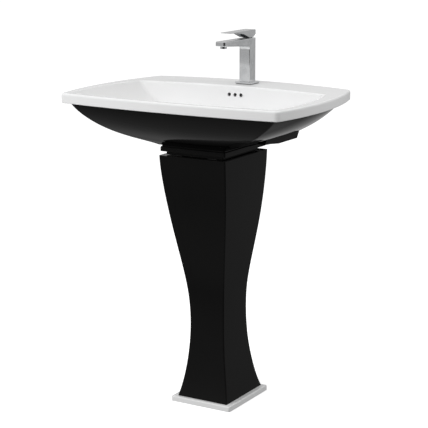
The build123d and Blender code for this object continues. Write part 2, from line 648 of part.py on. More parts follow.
def cartridge_carrier():
    """The turning part of the cartridge, slotted so that the spindle can tilt in it."""
    carrier = rod(*CARRIER, 0, TAP_Y) + rod(*CARRIER_NECK, 0, TAP_Y)
    front, back, bottom = CARRIER_LOW_SLOT
    lower_slot = block(CARRIER_SLOT_HALF, TAP_Y + front, TAP_Y + back, bottom, LIFT_PIVOT)
    front, back, top = CARRIER_HIGH_SLOT
    upper_slot = block(CARRIER_SLOT_HALF, TAP_Y + front, TAP_Y + back, LIFT_PIVOT - CUT, top)
    return carrier - lower_slot - upper_slot - rod_x(PIN_HOLE_RADIUS, CARRIER[0], TAP_Y, LIFT_PIVOT)


def spindle_pin():
    """The pin the spindle tilts on."""
    return rod_x(PIN_RADIUS, PIN_HALF_LENGTH, TAP_Y, LIFT_PIVOT)


def cartridge_spindle():
    """The square spindle from the disc up into the lever."""
    bottom, top = STEM_HEIGHTS
    half = STEM_TIP_HALF
    stem = block(STEM_HALF, TAP_Y - STEM_HALF, TAP_Y + STEM_HALF, bottom, top, STEM_CORNER)
    tip = block(half, TAP_Y - half, TAP_Y + half, STEM_TIP_BOTTOM, bottom, STEM_CORNER)
    return stem + tip - rod_x(PIN_HOLE_RADIUS, STEM_HALF + CUT, TAP_Y, LIFT_PIVOT)


def retaining_ring():
    """The threaded ring over the cartridge, with notches for its key."""
    nut = ring(*RETAINING_RING, 0, TAP_Y)
    radius, reach, bottom = RETAINING_NOTCH
    for index in range(RETAINING_NOTCHES):
        angle = 2 * pi * index / RETAINING_NOTCHES
        nut -= rod(radius, bottom, RETAINING_RING[3] + CUT, reach * cos(angle), TAP_Y + reach * sin(angle))
    return nut


# ---- The lever ----
def lever_handle():
    """The flat blade and its neck, with a square socket, a screw hole and a cap hole."""
    outline = [(LEVER_TIP_Y, LEVER_TOP), (LEVER_BACK_Y - LEVER_BACK_LEAN, LEVER_TOP)] + LEVER_UNDERSIDE
    front, back = LEVER_FOOT_DEPTH
    foot = Pos(0, (front + back) / 2, LEVER_FOOT_BOTTOM) * Rectangle(2 * LEVER_HALF_WIDTH, back - front)
    lean = Plane(origin=LEVER_ROOT_CENTRE, x_dir=(1, 0, 0), z_dir=LEVER_ROOT_LEAN)
    root = lean * Rectangle(2 * LEVER_HALF_WIDTH, LEVER_ROOT_DEPTH)
    handle = side_profile(outline, LEVER_HALF_WIDTH) + loft([foot, root])
    half = LEVER_SOCKET_HALF
    handle -= block(half, TAP_Y - half, TAP_Y + half, *LEVER_SOCKET_HEIGHTS)
    handle -= rod_y(SCREW_HOLE_RADIUS, TAP_Y, LEVER_BACK_Y + CUT, 0, SCREW_HEIGHT)
    return handle - rod_y(CAP_HOLE_RADIUS, CAP_HOLE_START, LEVER_BACK_Y + CUT, 0, SCREW_HEIGHT)


def lever_screw():
    """The grub screw that holds the lever on the spindle, with its key's socket."""
    half, depth = SCREW_KEY
    screw = rod_y(SCREW_RADIUS, SCREW_START, SCREW_END, 0, SCREW_HEIGHT)
    key = extrude(RegularPolygon(half, 6), depth, both=True)
    return screw - Pos(0, SCREW_END, SCREW_HEIGHT) * Rot(90, 0, 0) * key


def lever_cap():
    """The small plug that hides the screw."""
    return rod_y(CAP_RADIUS, CAP_START, LEVER_BACK_Y - CAP_SINK, 0, SCREW_HEIGHT)


# ---- The aerator ----
def aerator_housing():
    """The chromed ring under the spout's tip."""
    radius, bottom, top = AERATOR_FLANGE
    thread_top = AERATOR_POCKET_TOP - AERATOR_SEAL[2]
    housing = rod(radius, bottom, top, 0, AERATOR_Y)
    housing = fillet(housing.faces().sort_by(Axis.Z)[0].edges(), AERATOR_ROUNDING)
    housing += rod(AERATOR_THREAD_RADIUS, bottom + CUT, thread_top, 0, AERATOR_Y)
    return housing - rod(AERATOR_BORE_RADIUS, bottom - CUT, AERATOR_POCKET_TOP, 0, AERATOR_Y)


def aerator_insert():
    """A plastic disc with a grid of fine holes that breaks the water into a soft stream."""
    radius, sink, top = AERATOR_INSERT
    bottom = AERATOR_FLANGE[1]
    insert = rod(radius, bottom + sink, bottom + top, 0, AERATOR_Y)
    hole_radius, pitch = AERATOR_HOLE
    steps = range(-AERATOR_HOLE_STEPS, AERATOR_HOLE_STEPS + 1)
    for column in steps:
        for row in steps:
            if column * column + row * row <= AERATOR_HOLE_REACH:
                insert -= rod(hole_radius, bottom, bottom + top + CUT, column * pitch, AERATOR_Y + row * pitch)
    return insert


def aerator_seal():
    """The washer above the aerator's ring."""
    outer, inner, thickness = AERATOR_SEAL
    return ring(outer, inner, AERATOR_POCKET_TOP - thickness, AERATOR_POCKET_TOP, 0, AERATOR_Y)


# ---- The waste ----
def waste_seal_upper():
    """The ring under the waste's flange, on the drain's seat."""
    bore = WASTE_THREAD_RADIUS + WASTE_SEAL_CLEARANCES[0]
    return ring(WASTE_SEAL_RADIUS, bore, DRAIN_SEAT, FLANGE_BOTTOM, 0, DRAIN_Y)


def waste_flange():
    """The chromed ring round the plughole, with the tube that carries it."""
    bottom, top = FLANGE_BOTTOM, FLANGE_BOTTOM + FLANGE_THICKNESS
    tube_bottom = bottom - FLANGE_TUBE_LENGTH
    flange = rod(FLANGE_RADIUS, bottom, top, 0, DRAIN_Y)
    flange = fillet(flange.faces().sort_by(Axis.Z)[-1].edges(), FLANGE_ROUNDING)
    flange += rod(WASTE_BORE_RADIUS - FLANGE_TUBE_CLEARANCE, tube_bottom, bottom, 0, DRAIN_Y)
    flange += ring(WASTE_THREAD_RADIUS, FLANGE_STEP_BORE_RADIUS, bottom - CUT, bottom, 0, DRAIN_Y)
    flange -= rod(FLANGE_TUBE_BORE_RADIUS, tube_bottom - CUT, top + CUT, 0, DRAIN_Y)
    return flange - rod(PLUG_RADIUS + PLUG_CLEARANCE, PLUG_SEAT, top + CUT, 0, DRAIN_Y)


def waste_body():
    """The slotted tube that passes through the drain, with the step the guide sits on."""
    step_radius, step_bottom, step_top = WASTE_STEP
    tube = ring(WASTE_THREAD_RADIUS, WASTE_BORE_RADIUS, WASTE_BOTTOM, WASTE_TOP, 0, DRAIN_Y)
    tube += ring(WASTE_BORE_RADIUS + WASTE_STEP_OVERLAP, step_radius, step_bottom, step_top, 0, DRAIN_Y)
    length, width, height, middle = WASTE_SLOT
    for angle in (0, 90):
        tube -= Pos(0, DRAIN_Y, middle) * Rot(0, 0, angle) * Box(length, width, height)
    return tube


def plug_guide():
    """The click mechanism: a sealed barrel on three spokes, seated on the tube's inner step."""
    guide = rod(*GUIDE_BARREL, 0, DRAIN_Y)
    width, height, middle = GUIDE_SPOKE
    length = WASTE_BORE_RADIUS - 2 * GUIDE_SPOKE_CLEARANCE
    for index in range(GUIDE_SPOKES):
        spoke = Pos(WASTE_BORE_RADIUS / 2, 0, middle) * Box(length, width, height)
        guide += Pos(0, DRAIN_Y, 0) * Rot(0, 0, 90 + 360 * index / GUIDE_SPOKES) * spoke
    radius, bottom = GUIDE_BORE
    return guide - rod(radius, bottom, GUIDE_BARREL[2] + CUT, 0, DRAIN_Y)


def waste_plug():
    """The domed plug and the stem that clicks in the guide."""
    radius, bottom = PLUG_STEM
    seal_top = PLUG_SEAT + PLUG_SEAL_THICKNESS
    head = rod(PLUG_RADIUS, seal_top, PLUG_TOP, 0, DRAIN_Y)
    head = fillet(head.faces().sort_by(Axis.Z)[-1].edges(), PLUG_ROUNDING)
    return head + rod(radius, bottom, seal_top + CUT, 0, DRAIN_Y)


def plug_seal():
    """The ring under the plug's head."""
    outer = PLUG_RADIUS - PLUG_SEAL_INSET
    return ring(outer, PLUG_SEAL_BORE_RADIUS, PLUG_SEAT, PLUG_SEAT + PLUG_SEAL_THICKNESS, 0, DRAIN_Y)


def waste_seal_lower():
    """The thick ring between the nut and the drain's boss."""
    bore = WASTE_THREAD_RADIUS + WASTE_SEAL_CLEARANCES[1]
    bottom = DRAIN_BOSS_BOTTOM - WASTE_LOWER_SEAL_THICKNESS
    return ring(WASTE_SEAL_RADIUS, bore, bottom, DRAIN_BOSS_BOTTOM, 0, DRAIN_Y)


def waste_nut():
    """The nut that pulls the waste down."""
    top = DRAIN_BOSS_BOTTOM - WASTE_LOWER_SEAL_THICKNESS
    bottom = top - WASTE_NUT_HEIGHT
    bore = rod(WASTE_THREAD_RADIUS + FIT_CLEARANCE, bottom - CUT, top + CUT, 0, DRAIN_Y)
    return hexagon(WASTE_NUT_FLATS, bottom, top, 0, DRAIN_Y) - bore


# ---- The bottle trap ----
def trap_inlet_seal():
    """The washer between the pipe's collar and the waste."""
    return ring(*INLET_SEAL_RADII, PIPE_COLLAR_HEIGHTS[1], WASTE_BOTTOM, 0, DRAIN_Y)


def trap_inlet_nut():
    """The ribbed nut that holds the trap's pipe up to the waste."""
    radius, ribs, bottom, top = INLET_NUT
    nut = ribbed_nut(radius, WASTE_THREAD_RADIUS + FIT_CLEARANCE, bottom, top, ribs, DRAIN_Y)
    return nut + ring(NUT_LIP_RADIUS, PIPE_RADIUS + SLIDE_CLEARANCE, bottom, PIPE_COLLAR_HEIGHTS[0], 0, DRAIN_Y)


def trap_inlet_pipe():
    """The pipe that dips into the trap's water, with the collar it hangs by."""
    pipe = ring(PIPE_RADIUS, PIPE_BORE_RADIUS, PIPE_BOTTOM, PIPE_COLLAR_HEIGHTS[1], 0, DRAIN_Y)
    return pipe + ring(PIPE_COLLAR_RADIUS, PIPE_BORE_RADIUS, *PIPE_COLLAR_HEIGHTS, 0, DRAIN_Y)


def trap_body():
    """The bottle's upper half, with its neck and its outlet towards the wall."""
    bottom, top = TRAP_BODY
    ceiling = top - TRAP_WALL
    bore_radius, bore_start = TRAP_OUTLET_BORE
    body = rod(TRAP_RADIUS, bottom, top, 0, DRAIN_Y) + rod(TRAP_NECK_RADIUS, top, TRAP_NECK_TOP, 0, DRAIN_Y)
    body += rod_y(TRAP_OUTLET_RADIUS, DRAIN_Y, TRAP_OUTLET_END, 0, TRAP_OUTLET_HEIGHT)
    body -= rod(TRAP_RADIUS - TRAP_WALL, bottom - CUT, ceiling, 0, DRAIN_Y)
    body -= rod(PIPE_RADIUS + SLIDE_CLEARANCE, ceiling - CUT, TRAP_NECK_TOP + CUT, 0, DRAIN_Y)
    body -= rod_y(bore_radius, DRAIN_Y + bore_start, TRAP_OUTLET_END, 0, TRAP_OUTLET_HEIGHT)
    socket_start = TRAP_OUTLET_END - TRAP_SOCKET_DEPTH
    socket_radius = PIPE_RADIUS + SLIDE_CLEARANCE
    return body - rod_y(socket_radius, socket_start, TRAP_OUTLET_END + CUT, 0, TRAP_OUTLET_HEIGHT)


def trap_neck_seal():
    """The ring that seals the pipe in the bottle's neck."""
    radius, thickness = TRAP_NECK_SEAL
    bore = PIPE_RADIUS + FIT_CLEARANCE
    return ring(radius, bore, TRAP_NECK_TOP, TRAP_NECK_TOP + thickness, 0, DRAIN_Y)


def trap_neck_nut():
    """The ribbed nut on the bottle's neck."""
    radius, ribs, depth = TRAP_NECK_NUT
    lip_bottom = TRAP_NECK_TOP + TRAP_NECK_SEAL[1]
    bore = TRAP_NECK_RADIUS + FIT_CLEARANCE
    nut = ribbed_nut(radius, bore, TRAP_NECK_TOP - depth, lip_bottom, ribs, DRAIN_Y)
    lip_bore = PIPE_RADIUS + SLIDE_CLEARANCE
    return nut + ring(NUT_LIP_RADIUS, lip_bore, lip_bottom, lip_bottom + TRAP_NECK_LIP, 0, DRAIN_Y)


def trap_cup():
    """The bottle's lower half, which unscrews for cleaning."""
    joint = TRAP_BODY[0]
    top = joint + TRAP_CUP_OVERLAP
    cup = rod(TRAP_CUP_RADIUS, TRAP_CUP_BOTTOM, top, 0, DRAIN_Y)
    cup = fillet(cup.faces().sort_by(Axis.Z)[0].edges(), TRAP_CUP_ROUNDING)
    cup -= rod(TRAP_RADIUS + FIT_CLEARANCE, joint - TRAP_CUP_SEAL_THICKNESS, top + CUT, 0, DRAIN_Y)
    return cup - rod(TRAP_RADIUS - TRAP_WALL, TRAP_CUP_BOTTOM + TRAP_CUP_FLOOR, joint, 0, DRAIN_Y)


def trap_cup_seal():
    """The ring between the bottle's two halves."""
    outer = TRAP_RADIUS - TRAP_CUP_SEAL_CLEARANCE
    inner = TRAP_RADIUS - TRAP_WALL + TRAP_CUP_SEAL_CLEARANCE
    return ring(outer, inner, TRAP_BODY[0] - TRAP_CUP_SEAL_THICKNESS, TRAP_BODY[0], 0, DRAIN_Y)


def trap_outlet_nut():
    """The ribbed nut that takes the house's waste pipe."""
    back, front = OUTLET_NUT_REACH
    start, end = TRAP_OUTLET_END - back, TRAP_OUTLET_END + front
    seal_end = TRAP_OUTLET_END + OUTLET_SEAL[1]
    pipe_radius = PIPE_RADIUS + SLIDE_CLEARANCE
    nut = rod_y(OUTLET_NUT_RADIUS, start, end, 0, TRAP_OUTLET_HEIGHT)
    nut -= rod_y(TRAP_OUTLET_RADIUS + FIT_CLEARANCE, start - CUT, seal_end, 0, TRAP_OUTLET_HEIGHT)
    nut -= rod_y(pipe_radius, TRAP_OUTLET_END, end + CUT, 0, TRAP_OUTLET_HEIGHT)
    reach = OUTLET_NUT_RADIUS + RIB_GROOVE_OFFSET
    for index in range(OUTLET_NUT_RIBS):
        angle = 2 * pi * index / OUTLET_NUT_RIBS
        x, z = reach * cos(angle), TRAP_OUTLET_HEIGHT + reach * sin(angle)
        nut -= rod_y(RIB_GROOVE_RADIUS, start - CUT, end + CUT, x, z)
    return nut


def trap_outlet_seal():
    """The ring that seals the house's waste pipe."""
    radius, thickness = OUTLET_SEAL
    start, end = TRAP_OUTLET_END, TRAP_OUTLET_END + thickness
    seal = rod_y(radius, start, end, 0, TRAP_OUTLET_HEIGHT)
    return seal - rod_y(PIPE_RADIUS + SLIDE_CLEARANCE, start - CUT, end + CUT, 0, TRAP_OUTLET_HEIGHT)


PARTS = [
    basin_bowl, basin_underside, pedestal_column, pedestal_plinth, pedestal_pads,
    tap_base_seal, tap_base_plate, tap_body, tap_stud, tap_rubber_saddle, tap_steel_saddle, tap_nut,
    cartridge_housing, cartridge_seals, cartridge_fixed_disc, cartridge_moving_disc, cartridge_carrier,
    cartridge_spindle, spindle_pin, retaining_ring, lever_handle, lever_screw, lever_cap,
    aerator_housing, aerator_insert, aerator_seal,
    waste_seal_upper, waste_flange, waste_body, waste_plug, plug_seal, plug_guide, waste_seal_lower, waste_nut,
    trap_inlet_seal, trap_inlet_nut, trap_inlet_pipe, trap_body, trap_neck_seal, trap_neck_nut,
    trap_cup, trap_cup_seal, trap_outlet_nut, trap_outlet_seal,
]

os.makedirs("parts", exist_ok=True)
for make in PARTS:
    export_step(make(), "parts/" + make.__name__ + ".step")
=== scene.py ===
# %% [markdown]
# # Dressing a pedestal sink
# The basin, pedestal, tap and waste were drawn as engineering parts. This lesson takes them
# as a fixed frame and gives them what a bathroom would: two glazes on one casting, polished
# plating, turned brass, moulded plastic and rubber, and the small real details that an
# engineering model leaves out, such as screw threads and the honeycomb in the spout.

# %% Load the frame
from math import cos, pi, radians, sin, sqrt, tau

import bmesh
import bpy
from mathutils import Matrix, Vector


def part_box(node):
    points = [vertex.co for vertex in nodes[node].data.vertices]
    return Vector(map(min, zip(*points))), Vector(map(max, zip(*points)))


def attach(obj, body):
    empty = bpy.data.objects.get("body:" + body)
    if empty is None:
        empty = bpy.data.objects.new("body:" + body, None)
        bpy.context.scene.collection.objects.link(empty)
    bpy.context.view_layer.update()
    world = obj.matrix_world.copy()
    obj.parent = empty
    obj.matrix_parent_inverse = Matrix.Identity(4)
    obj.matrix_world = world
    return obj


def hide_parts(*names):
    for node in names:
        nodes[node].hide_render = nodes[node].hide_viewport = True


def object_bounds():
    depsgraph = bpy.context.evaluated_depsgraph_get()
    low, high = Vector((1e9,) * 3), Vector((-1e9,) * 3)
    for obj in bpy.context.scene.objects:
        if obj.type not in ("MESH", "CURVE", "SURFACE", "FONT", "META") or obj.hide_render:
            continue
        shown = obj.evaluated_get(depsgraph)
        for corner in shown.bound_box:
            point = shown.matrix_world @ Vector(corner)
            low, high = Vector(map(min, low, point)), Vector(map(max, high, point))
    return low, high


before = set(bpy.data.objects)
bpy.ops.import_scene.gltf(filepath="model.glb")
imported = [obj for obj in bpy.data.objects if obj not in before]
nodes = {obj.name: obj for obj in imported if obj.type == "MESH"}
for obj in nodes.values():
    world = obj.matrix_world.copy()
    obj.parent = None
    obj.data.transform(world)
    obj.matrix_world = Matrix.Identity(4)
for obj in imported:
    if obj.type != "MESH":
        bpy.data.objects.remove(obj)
cad_low, cad_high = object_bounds()
slot_of = {name: part.material_slots[0].material.name for name, part in nodes.items()}
for plain in list(bpy.data.materials):
    bpy.data.materials.remove(plain)
print("parts:", len(nodes), "height:", round(cad_high.z - cad_low.z, 4), "m")


# %% [markdown]
# ## The camera
# A product is usually shown from slightly above and from one side, with a long lens, so that its
# upright lines stay nearly parallel. The camera stands on a circle round the pedestal, and a
# longer lens from further away would flatten the rim more.

# %% Place the camera
CAMERA_ROUND = radians(30.489)
CAMERA_STEP_BACK = 3.7663
CAMERA_HEIGHT = 1.354
CAMERA_DIP = radians(12.587)
CAMERA_SWING = radians(0.2446)
LENS = 120.77

eye = bpy.data.cameras.new("studio_camera")
eye.lens = LENS
eye.clip_end = 100.0
camera = bpy.data.objects.new("studio_camera", eye)
camera.location = (
    CAMERA_STEP_BACK * sin(CAMERA_ROUND),
    -CAMERA_STEP_BACK * cos(CAMERA_ROUND),
    CAMERA_HEIGHT,
)
camera.rotation_euler = (pi / 2 - CAMERA_DIP, 0, CAMERA_ROUND + CAMERA_SWING)
bpy.context.scene.collection.objects.link(camera)
bpy.context.scene.camera = camera
print("camera at", [round(v, 3) for v in camera.location])


# %% [markdown]
# ## Short words for nodes
# Shader trees and geometry trees are built in the same way: add a node, set its traits, feed its
# sockets with a value or with another node's output. Two helpers say that once. Some nodes hold
# several sockets of one name and show only those of their present mode, so a socket is looked up
# among the shown ones.

# %% Node helpers
def shown(sockets, name):
    """The socket of that name which the node shows in its present mode."""
    return next(s for s in sockets if s.enabled and s.name == name)


def add(tree, kind, feeds=None, out=None, **traits):
    """Adds a node and returns its output called out, or the node itself where out isn't given."""
    made = tree.nodes.new(kind)
    for trait, value in traits.items():
        setattr(made, trait, value)
    for name, value in (feeds or {}).items():
        target = shown(made.inputs, name)
        if isinstance(value, bpy.types.NodeSocket):
            tree.links.new(value, target)
        else:
            target.default_value = value
    return shown(made.outputs, out) if out else made


def sums(tree, operation, first, second):
    """One step of arithmetic on two values."""
    made = tree.nodes.new("ShaderNodeMath")
    made.operation = operation
    for target, value in zip(made.inputs, (first, second)):
        if isinstance(value, bpy.types.NodeSocket):
            tree.links.new(value, target)
        else:
            target.default_value = value
    return made.outputs["Value"]


def ramp(tree, value, low, high, to_low=0.0, to_high=1.0):
    """Maps a value smoothly from one range to another. Either end may be another socket."""
    feeds = {"Value": value, "From Min": low, "From Max": high, "To Min": to_low, "To Max": to_high}
    return add(tree, "ShaderNodeMapRange", feeds, "Result", interpolation_type="SMOOTHSTEP")


def tint(tree, mask, first, second):
    """Mixes two colours by a mask."""
    feeds = {"Factor": mask, "A": first, "B": second}
    return add(tree, "ShaderNodeMix", feeds, "Result", data_type="RGBA")


def grey(level, warmth=0.0):
    """A near-neutral colour, a little warm or cool."""
    return (level * (1 + warmth), level, level * (1 - warmth), 1.0)


# %% [markdown]
# ## The studio
# Glazed black and chrome show little but reflections, so what stands round them matters more
# than the lights. A light seen in them would be a hard white patch, so lights and floor are both
# hidden from reflections, and what is left to reflect is the sky and the sink itself. The sky is
# pale overhead, darkest some way below the horizon and pale again straight down, and a dark
# doorway on the viewer's side gives the plating something dark to show.

# %% Studio sky
# Each stop is a height, from straight down at 0 to straight up at 1, and how bright the sky is.
SKY = [
    (0.0, 1.0),
    (0.12, 0.76),
    (0.25, 0.21),
    (0.39, 0.44),
    (0.50, 0.52),
    (0.58, 0.66),
    (0.75, 0.66),
    (1.0, 0.72),
]
SKY_STRENGTH = 0.92
# The camera itself sees a plain backdrop, so the sky shows in reflections and light only.
BACKDROP_LEVEL = 1.2
# The doorway starts to darken at the first cosine from its middle and is full at the second.
DOORWAY_REACH = (0.70, 0.88)
DOORWAY_DROP = 0.1
DOORWAY_LEVEL = 0.04

sky = bpy.data.worlds.new("studio_sky")
sky.use_nodes = True
sky.node_tree.nodes.clear()
toward = add(sky.node_tree, "ShaderNodeTexCoord", out="Generated")
split = add(sky.node_tree, "ShaderNodeSeparateXYZ", {"Vector": toward})
upward = {"Value": split.outputs["Z"], "From Min": -1.0, "From Max": 1.0}
height = add(sky.node_tree, "ShaderNodeMapRange", upward, "Result", interpolation_type="LINEAR")
gradient = add(sky.node_tree, "ShaderNodeValToRGB", {"Fac": height})
stops = gradient.color_ramp.elements
while len(stops) < len(SKY):
    stops.new(0.5)
for stop, (place, level) in zip(stops, SKY):
    stop.position = place
    stop.color = grey(level)
doorway = Vector((sin(CAMERA_ROUND), -cos(CAMERA_ROUND), -DOORWAY_DROP)).normalized()
facing = add(sky.node_tree, "ShaderNodeVectorMath", {"Vector": toward}, operation="DOT_PRODUCT")
facing.inputs[1].default_value = doorway
dark_doorway = ramp(sky.node_tree, facing.outputs["Value"], *DOORWAY_REACH)
room = tint(sky.node_tree, dark_doorway, gradient.outputs["Color"], grey(DOORWAY_LEVEL))
seen = add(sky.node_tree, "ShaderNodeLightPath", out="Is Camera Ray")
colour = tint(sky.node_tree, seen, room, grey(BACKDROP_LEVEL))
background = add(
    sky.node_tree, "ShaderNodeBackground", {"Color": colour, "Strength": SKY_STRENGTH}, "Background"
)
add(sky.node_tree, "ShaderNodeOutputWorld", {"Surface": background})
bpy.context.scene.world = sky
bpy.context.scene.view_settings.view_transform = "Standard"
print("sky stops:", len(stops))


# %% [markdown]
# ### Lights
# A big light at the front left shapes the sink, and three weak ones fill in: one above, one at
# the right for the end of the rim, and one near the floor for the foot. One bigger light would be
# simpler, but the rim's end and the foot could then not be made brighter on their own.

# %% Lights
def soft_box(name, place, aim, size, watts):
    """A square area light that looks from place to aim. Reflections don't show it."""
    lamp = bpy.data.lights.new(name, "AREA")
    lamp.size = size
    lamp.energy = watts
    box = bpy.data.objects.new(name, lamp)
    box.location = place
    box.rotation_euler = (Vector(aim) - Vector(place)).to_track_quat("-Z", "Y").to_euler()
    box.visible_glossy = False
    bpy.context.scene.collection.objects.link(box)


waist = (0.0, 0.0, (cad_low.z + cad_high.z) / 2)
soft_box("key_light", (-1.6, -3.4, 2.8), waist, 2.2, 93.0)
soft_box("top_light", (0.2, 0.1, 3.2), waist, 1.8, 9.0)
soft_box("end_light", (1.9, 0.4, 2.1), (0.0, 0.0, cad_high.z), 0.9, 11.0)
soft_box("foot_light", (-1.0, -2.0, 0.25), (0.0, 0.0, 0.1), 0.7, 6.0)
print("lights:", len(bpy.data.lights))

# %% [markdown]
# ### Floor
# The floor is a very wide disc with a glow of its own, so that its far edge melts into the
# backdrop. It is hidden from bounced light too, or the glow would light the sink from below.

# %% Floor
FLOOR_RADIUS = 45.0
FLOOR_SIDES = 96
FLOOR_GLOW = 0.55

floor_mesh = bmesh.new()
bmesh.ops.create_circle(floor_mesh, cap_ends=True, radius=FLOOR_RADIUS, segments=FLOOR_SIDES)
bmesh.ops.translate(floor_mesh, verts=floor_mesh.verts, vec=(0, 0, cad_low.z))
floor_data = bpy.data.meshes.new("pale_floor")
floor_mesh.to_mesh(floor_data)
floor_mesh.free()
floor = bpy.data.objects.new("pale_floor", floor_data)
bpy.context.scene.collection.objects.link(floor)
floor.visible_glossy = False
floor.visible_diffuse = False

floor_paint = bpy.data.materials.new("pale_floor")
floor_paint.use_nodes = True
floor_shader = floor_paint.node_tree.nodes["Principled BSDF"]
floor_shader.inputs["Roughness"].default_value = 0.9
floor_shader.inputs["Specular IOR Level"].default_value = 0.1
floor_shader.inputs["Base Color"].default_value = grey(0.88)
floor_shader.inputs["Emission Color"].default_value = grey(1.0)
floor_shader.inputs["Emission Strength"].default_value = FLOOR_GLOW
floor_data.materials.append(floor_paint)
print("floor reaches", FLOOR_RADIUS, "m")


# %% [markdown]
# ## Effects that several finishes share
# Each of these is a node group with named inputs, built once and placed in every material with
# its own values. They put out heights and masks only, and the shader itself stays in the
# material. All of them read object coordinates, so a pattern keeps its real size in metres.

# %% Start a group
def new_group(name, inputs, outputs):
    """An empty node group, with its inner start and end nodes. Inputs are named with defaults."""
    tree = bpy.data.node_groups.new(name, "ShaderNodeTree")
    for title, default in inputs.items():
        entry = tree.interface.new_socket(title, in_out="INPUT", socket_type="NodeSocketFloat")
        entry.default_value = default
    for title in outputs:
        tree.interface.new_socket(title, in_out="OUTPUT", socket_type="NodeSocketFloat")
    start = tree.nodes.new("NodeGroupInput")
    end = tree.nodes.new("NodeGroupOutput")
    return tree, start.outputs, end.inputs


def place(tree, group, values):
    """Puts a group into a material's tree with its own values, and returns its outputs."""
    made = tree.nodes.new("ShaderNodeGroup")
    made.node_tree = group
    for title, value in values.items():
        made.inputs[title].default_value = value
    return made.outputs


def noise(tree, size, detail, vector=None):
    """Cloudy noise whose lumps are about size metres across."""
    scale = sums(tree, "DIVIDE", 1.0, size)
    source = vector or add(tree, "ShaderNodeTexCoord", out="Object")
    feeds = {"Vector": source, "Scale": scale, "Detail": detail}
    return add(tree, "ShaderNodeTexNoise", feeds, "Fac")


# %% [markdown]
# ### Glaze
# Fired glaze is never optically flat. It pools in slow waves over the casting, has a fine orange
# peel where it was sprayed, and a few pinholes where gas came out. One noise could stand for all
# three, but they differ in size by a hundred times, so each has its own layer.

# %% Glaze surface group
glaze_surface, feed, result = new_group(
    "glaze_surface",
    {"Wave Size": 0.07, "Peel Size": 0.004, "Peel Share": 0.12, "Pinhole Size": 0.012},
    ("Height", "Clouds", "Pinholes"),
)
waves = noise(glaze_surface, feed["Wave Size"], 1.0)
peel = noise(glaze_surface, feed["Peel Size"], 1.0)
peel_height = sums(glaze_surface, "MULTIPLY", peel, feed["Peel Share"])
spots = add(
    glaze_surface,
    "ShaderNodeTexVoronoi",
    {
        "Vector": add(glaze_surface, "ShaderNodeTexCoord", out="Object"),
        "Scale": sums(glaze_surface, "DIVIDE", 1.0, feed["Pinhole Size"]),
    },
)
# Each cell draws a chance, and only the cells near the top of the range hold a pinhole.
chance = add(glaze_surface, "ShaderNodeSeparateColor", {"Color": spots.outputs["Color"]}, "Red")
rare = ramp(glaze_surface, chance, 0.965, 0.97)
dot = ramp(glaze_surface, spots.outputs["Distance"], 0.03, 0.05, 1.0, 0.0)
pinholes = sums(glaze_surface, "MULTIPLY", rare, dot)
clouds = noise(glaze_surface, sums(glaze_surface, "MULTIPLY", feed["Wave Size"], 2.2), 3.0)
pits = sums(glaze_surface, "MULTIPLY", pinholes, feed["Peel Share"])
relief = sums(glaze_surface, "SUBTRACT", sums(glaze_surface, "ADD", waves, peel_height), pits)
glaze_surface.links.new(relief, result["Height"])
glaze_surface.links.new(clouds, result["Clouds"])
glaze_surface.links.new(pinholes, result["Pinholes"])
print("glaze layers:", len(glaze_surface.nodes))

# %% [markdown]
# ### Edges
# Glaze draws back from a sharp edge as it melts, plating thins there, and a hand polishes it.
# The bevel node gives the normal that a rounded edge would have, and where that differs from
# the true normal there is an edge. It needs no extra vertices, unlike pointiness.

# %% Edge group
thin_edges, feed, result = new_group("thin_edges", {"Width": 0.002, "Unevenness": 0.5}, ("Mask",))
rounded = add(thin_edges, "ShaderNodeBevel", {"Radius": feed["Width"]}, "Normal", samples=6)
true_normal = add(thin_edges, "ShaderNodeNewGeometry", out="Normal")
agree = add(thin_edges, "ShaderNodeVectorMath", operation="DOT_PRODUCT")
thin_edges.links.new(rounded, agree.inputs[0])
thin_edges.links.new(true_normal, agree.inputs[1])
edge = ramp(thin_edges, agree.outputs["Value"], 0.80, 0.99, 1.0, 0.0)
patchy = noise(thin_edges, sums(thin_edges, "MULTIPLY", feed["Width"], 4.0), 3.0)
patches = ramp(thin_edges, patchy, 0.35, 0.65)
keep = sums(thin_edges, "MULTIPLY", feed["Unevenness"], patches)
broken = sums(thin_edges, "MULTIPLY", edge, sums(thin_edges, "SUBTRACT", 1.0, keep))
thin_edges.links.new(broken, result["Mask"])
print("edge group nodes:", len(thin_edges.nodes))

# %% [markdown]
# ### Water and dust
# Taps and basins carry dried drops: a faint ring of lime round each. Dust settles only on what
# faces up. Both are masks, so each finish decides how much of them shows.

# %% Water and dust group
water_marks, feed, result = new_group(
    "water_marks", {"Drop Size": 0.006, "Dust Size": 0.05}, ("Rings", "Dust")
)
drops = add(
    water_marks,
    "ShaderNodeTexVoronoi",
    {
        "Vector": add(water_marks, "ShaderNodeTexCoord", out="Object"),
        "Scale": sums(water_marks, "DIVIDE", 0.6, feed["Drop Size"]),
    },
    feature="SMOOTH_F1",
)
ring_in = ramp(water_marks, drops.outputs["Distance"], 0.20, 0.27)
ring_out = ramp(water_marks, drops.outputs["Distance"], 0.27, 0.33, 1.0, 0.0)
ring = sums(water_marks, "MULTIPLY", ring_in, ring_out)
drop_pick = add(water_marks, "ShaderNodeSeparateColor", {"Color": drops.outputs["Color"]}, "Green")
some = ramp(water_marks, drop_pick, 0.70, 0.78)
rings = sums(water_marks, "MULTIPLY", ring, some)
up = add(
    water_marks,
    "ShaderNodeSeparateXYZ",
    {"Vector": add(water_marks, "ShaderNodeNewGeometry", out="Normal")},
    "Z",
)
flat = ramp(water_marks, up, 0.3, 0.95)
drift = ramp(water_marks, noise(water_marks, feed["Dust Size"], 5.0), 0.35, 0.75)
water_marks.links.new(rings, result["Rings"])
water_marks.links.new(sums(water_marks, "MULTIPLY", flat, drift), result["Dust"])
print("water group nodes:", len(water_marks.nodes))
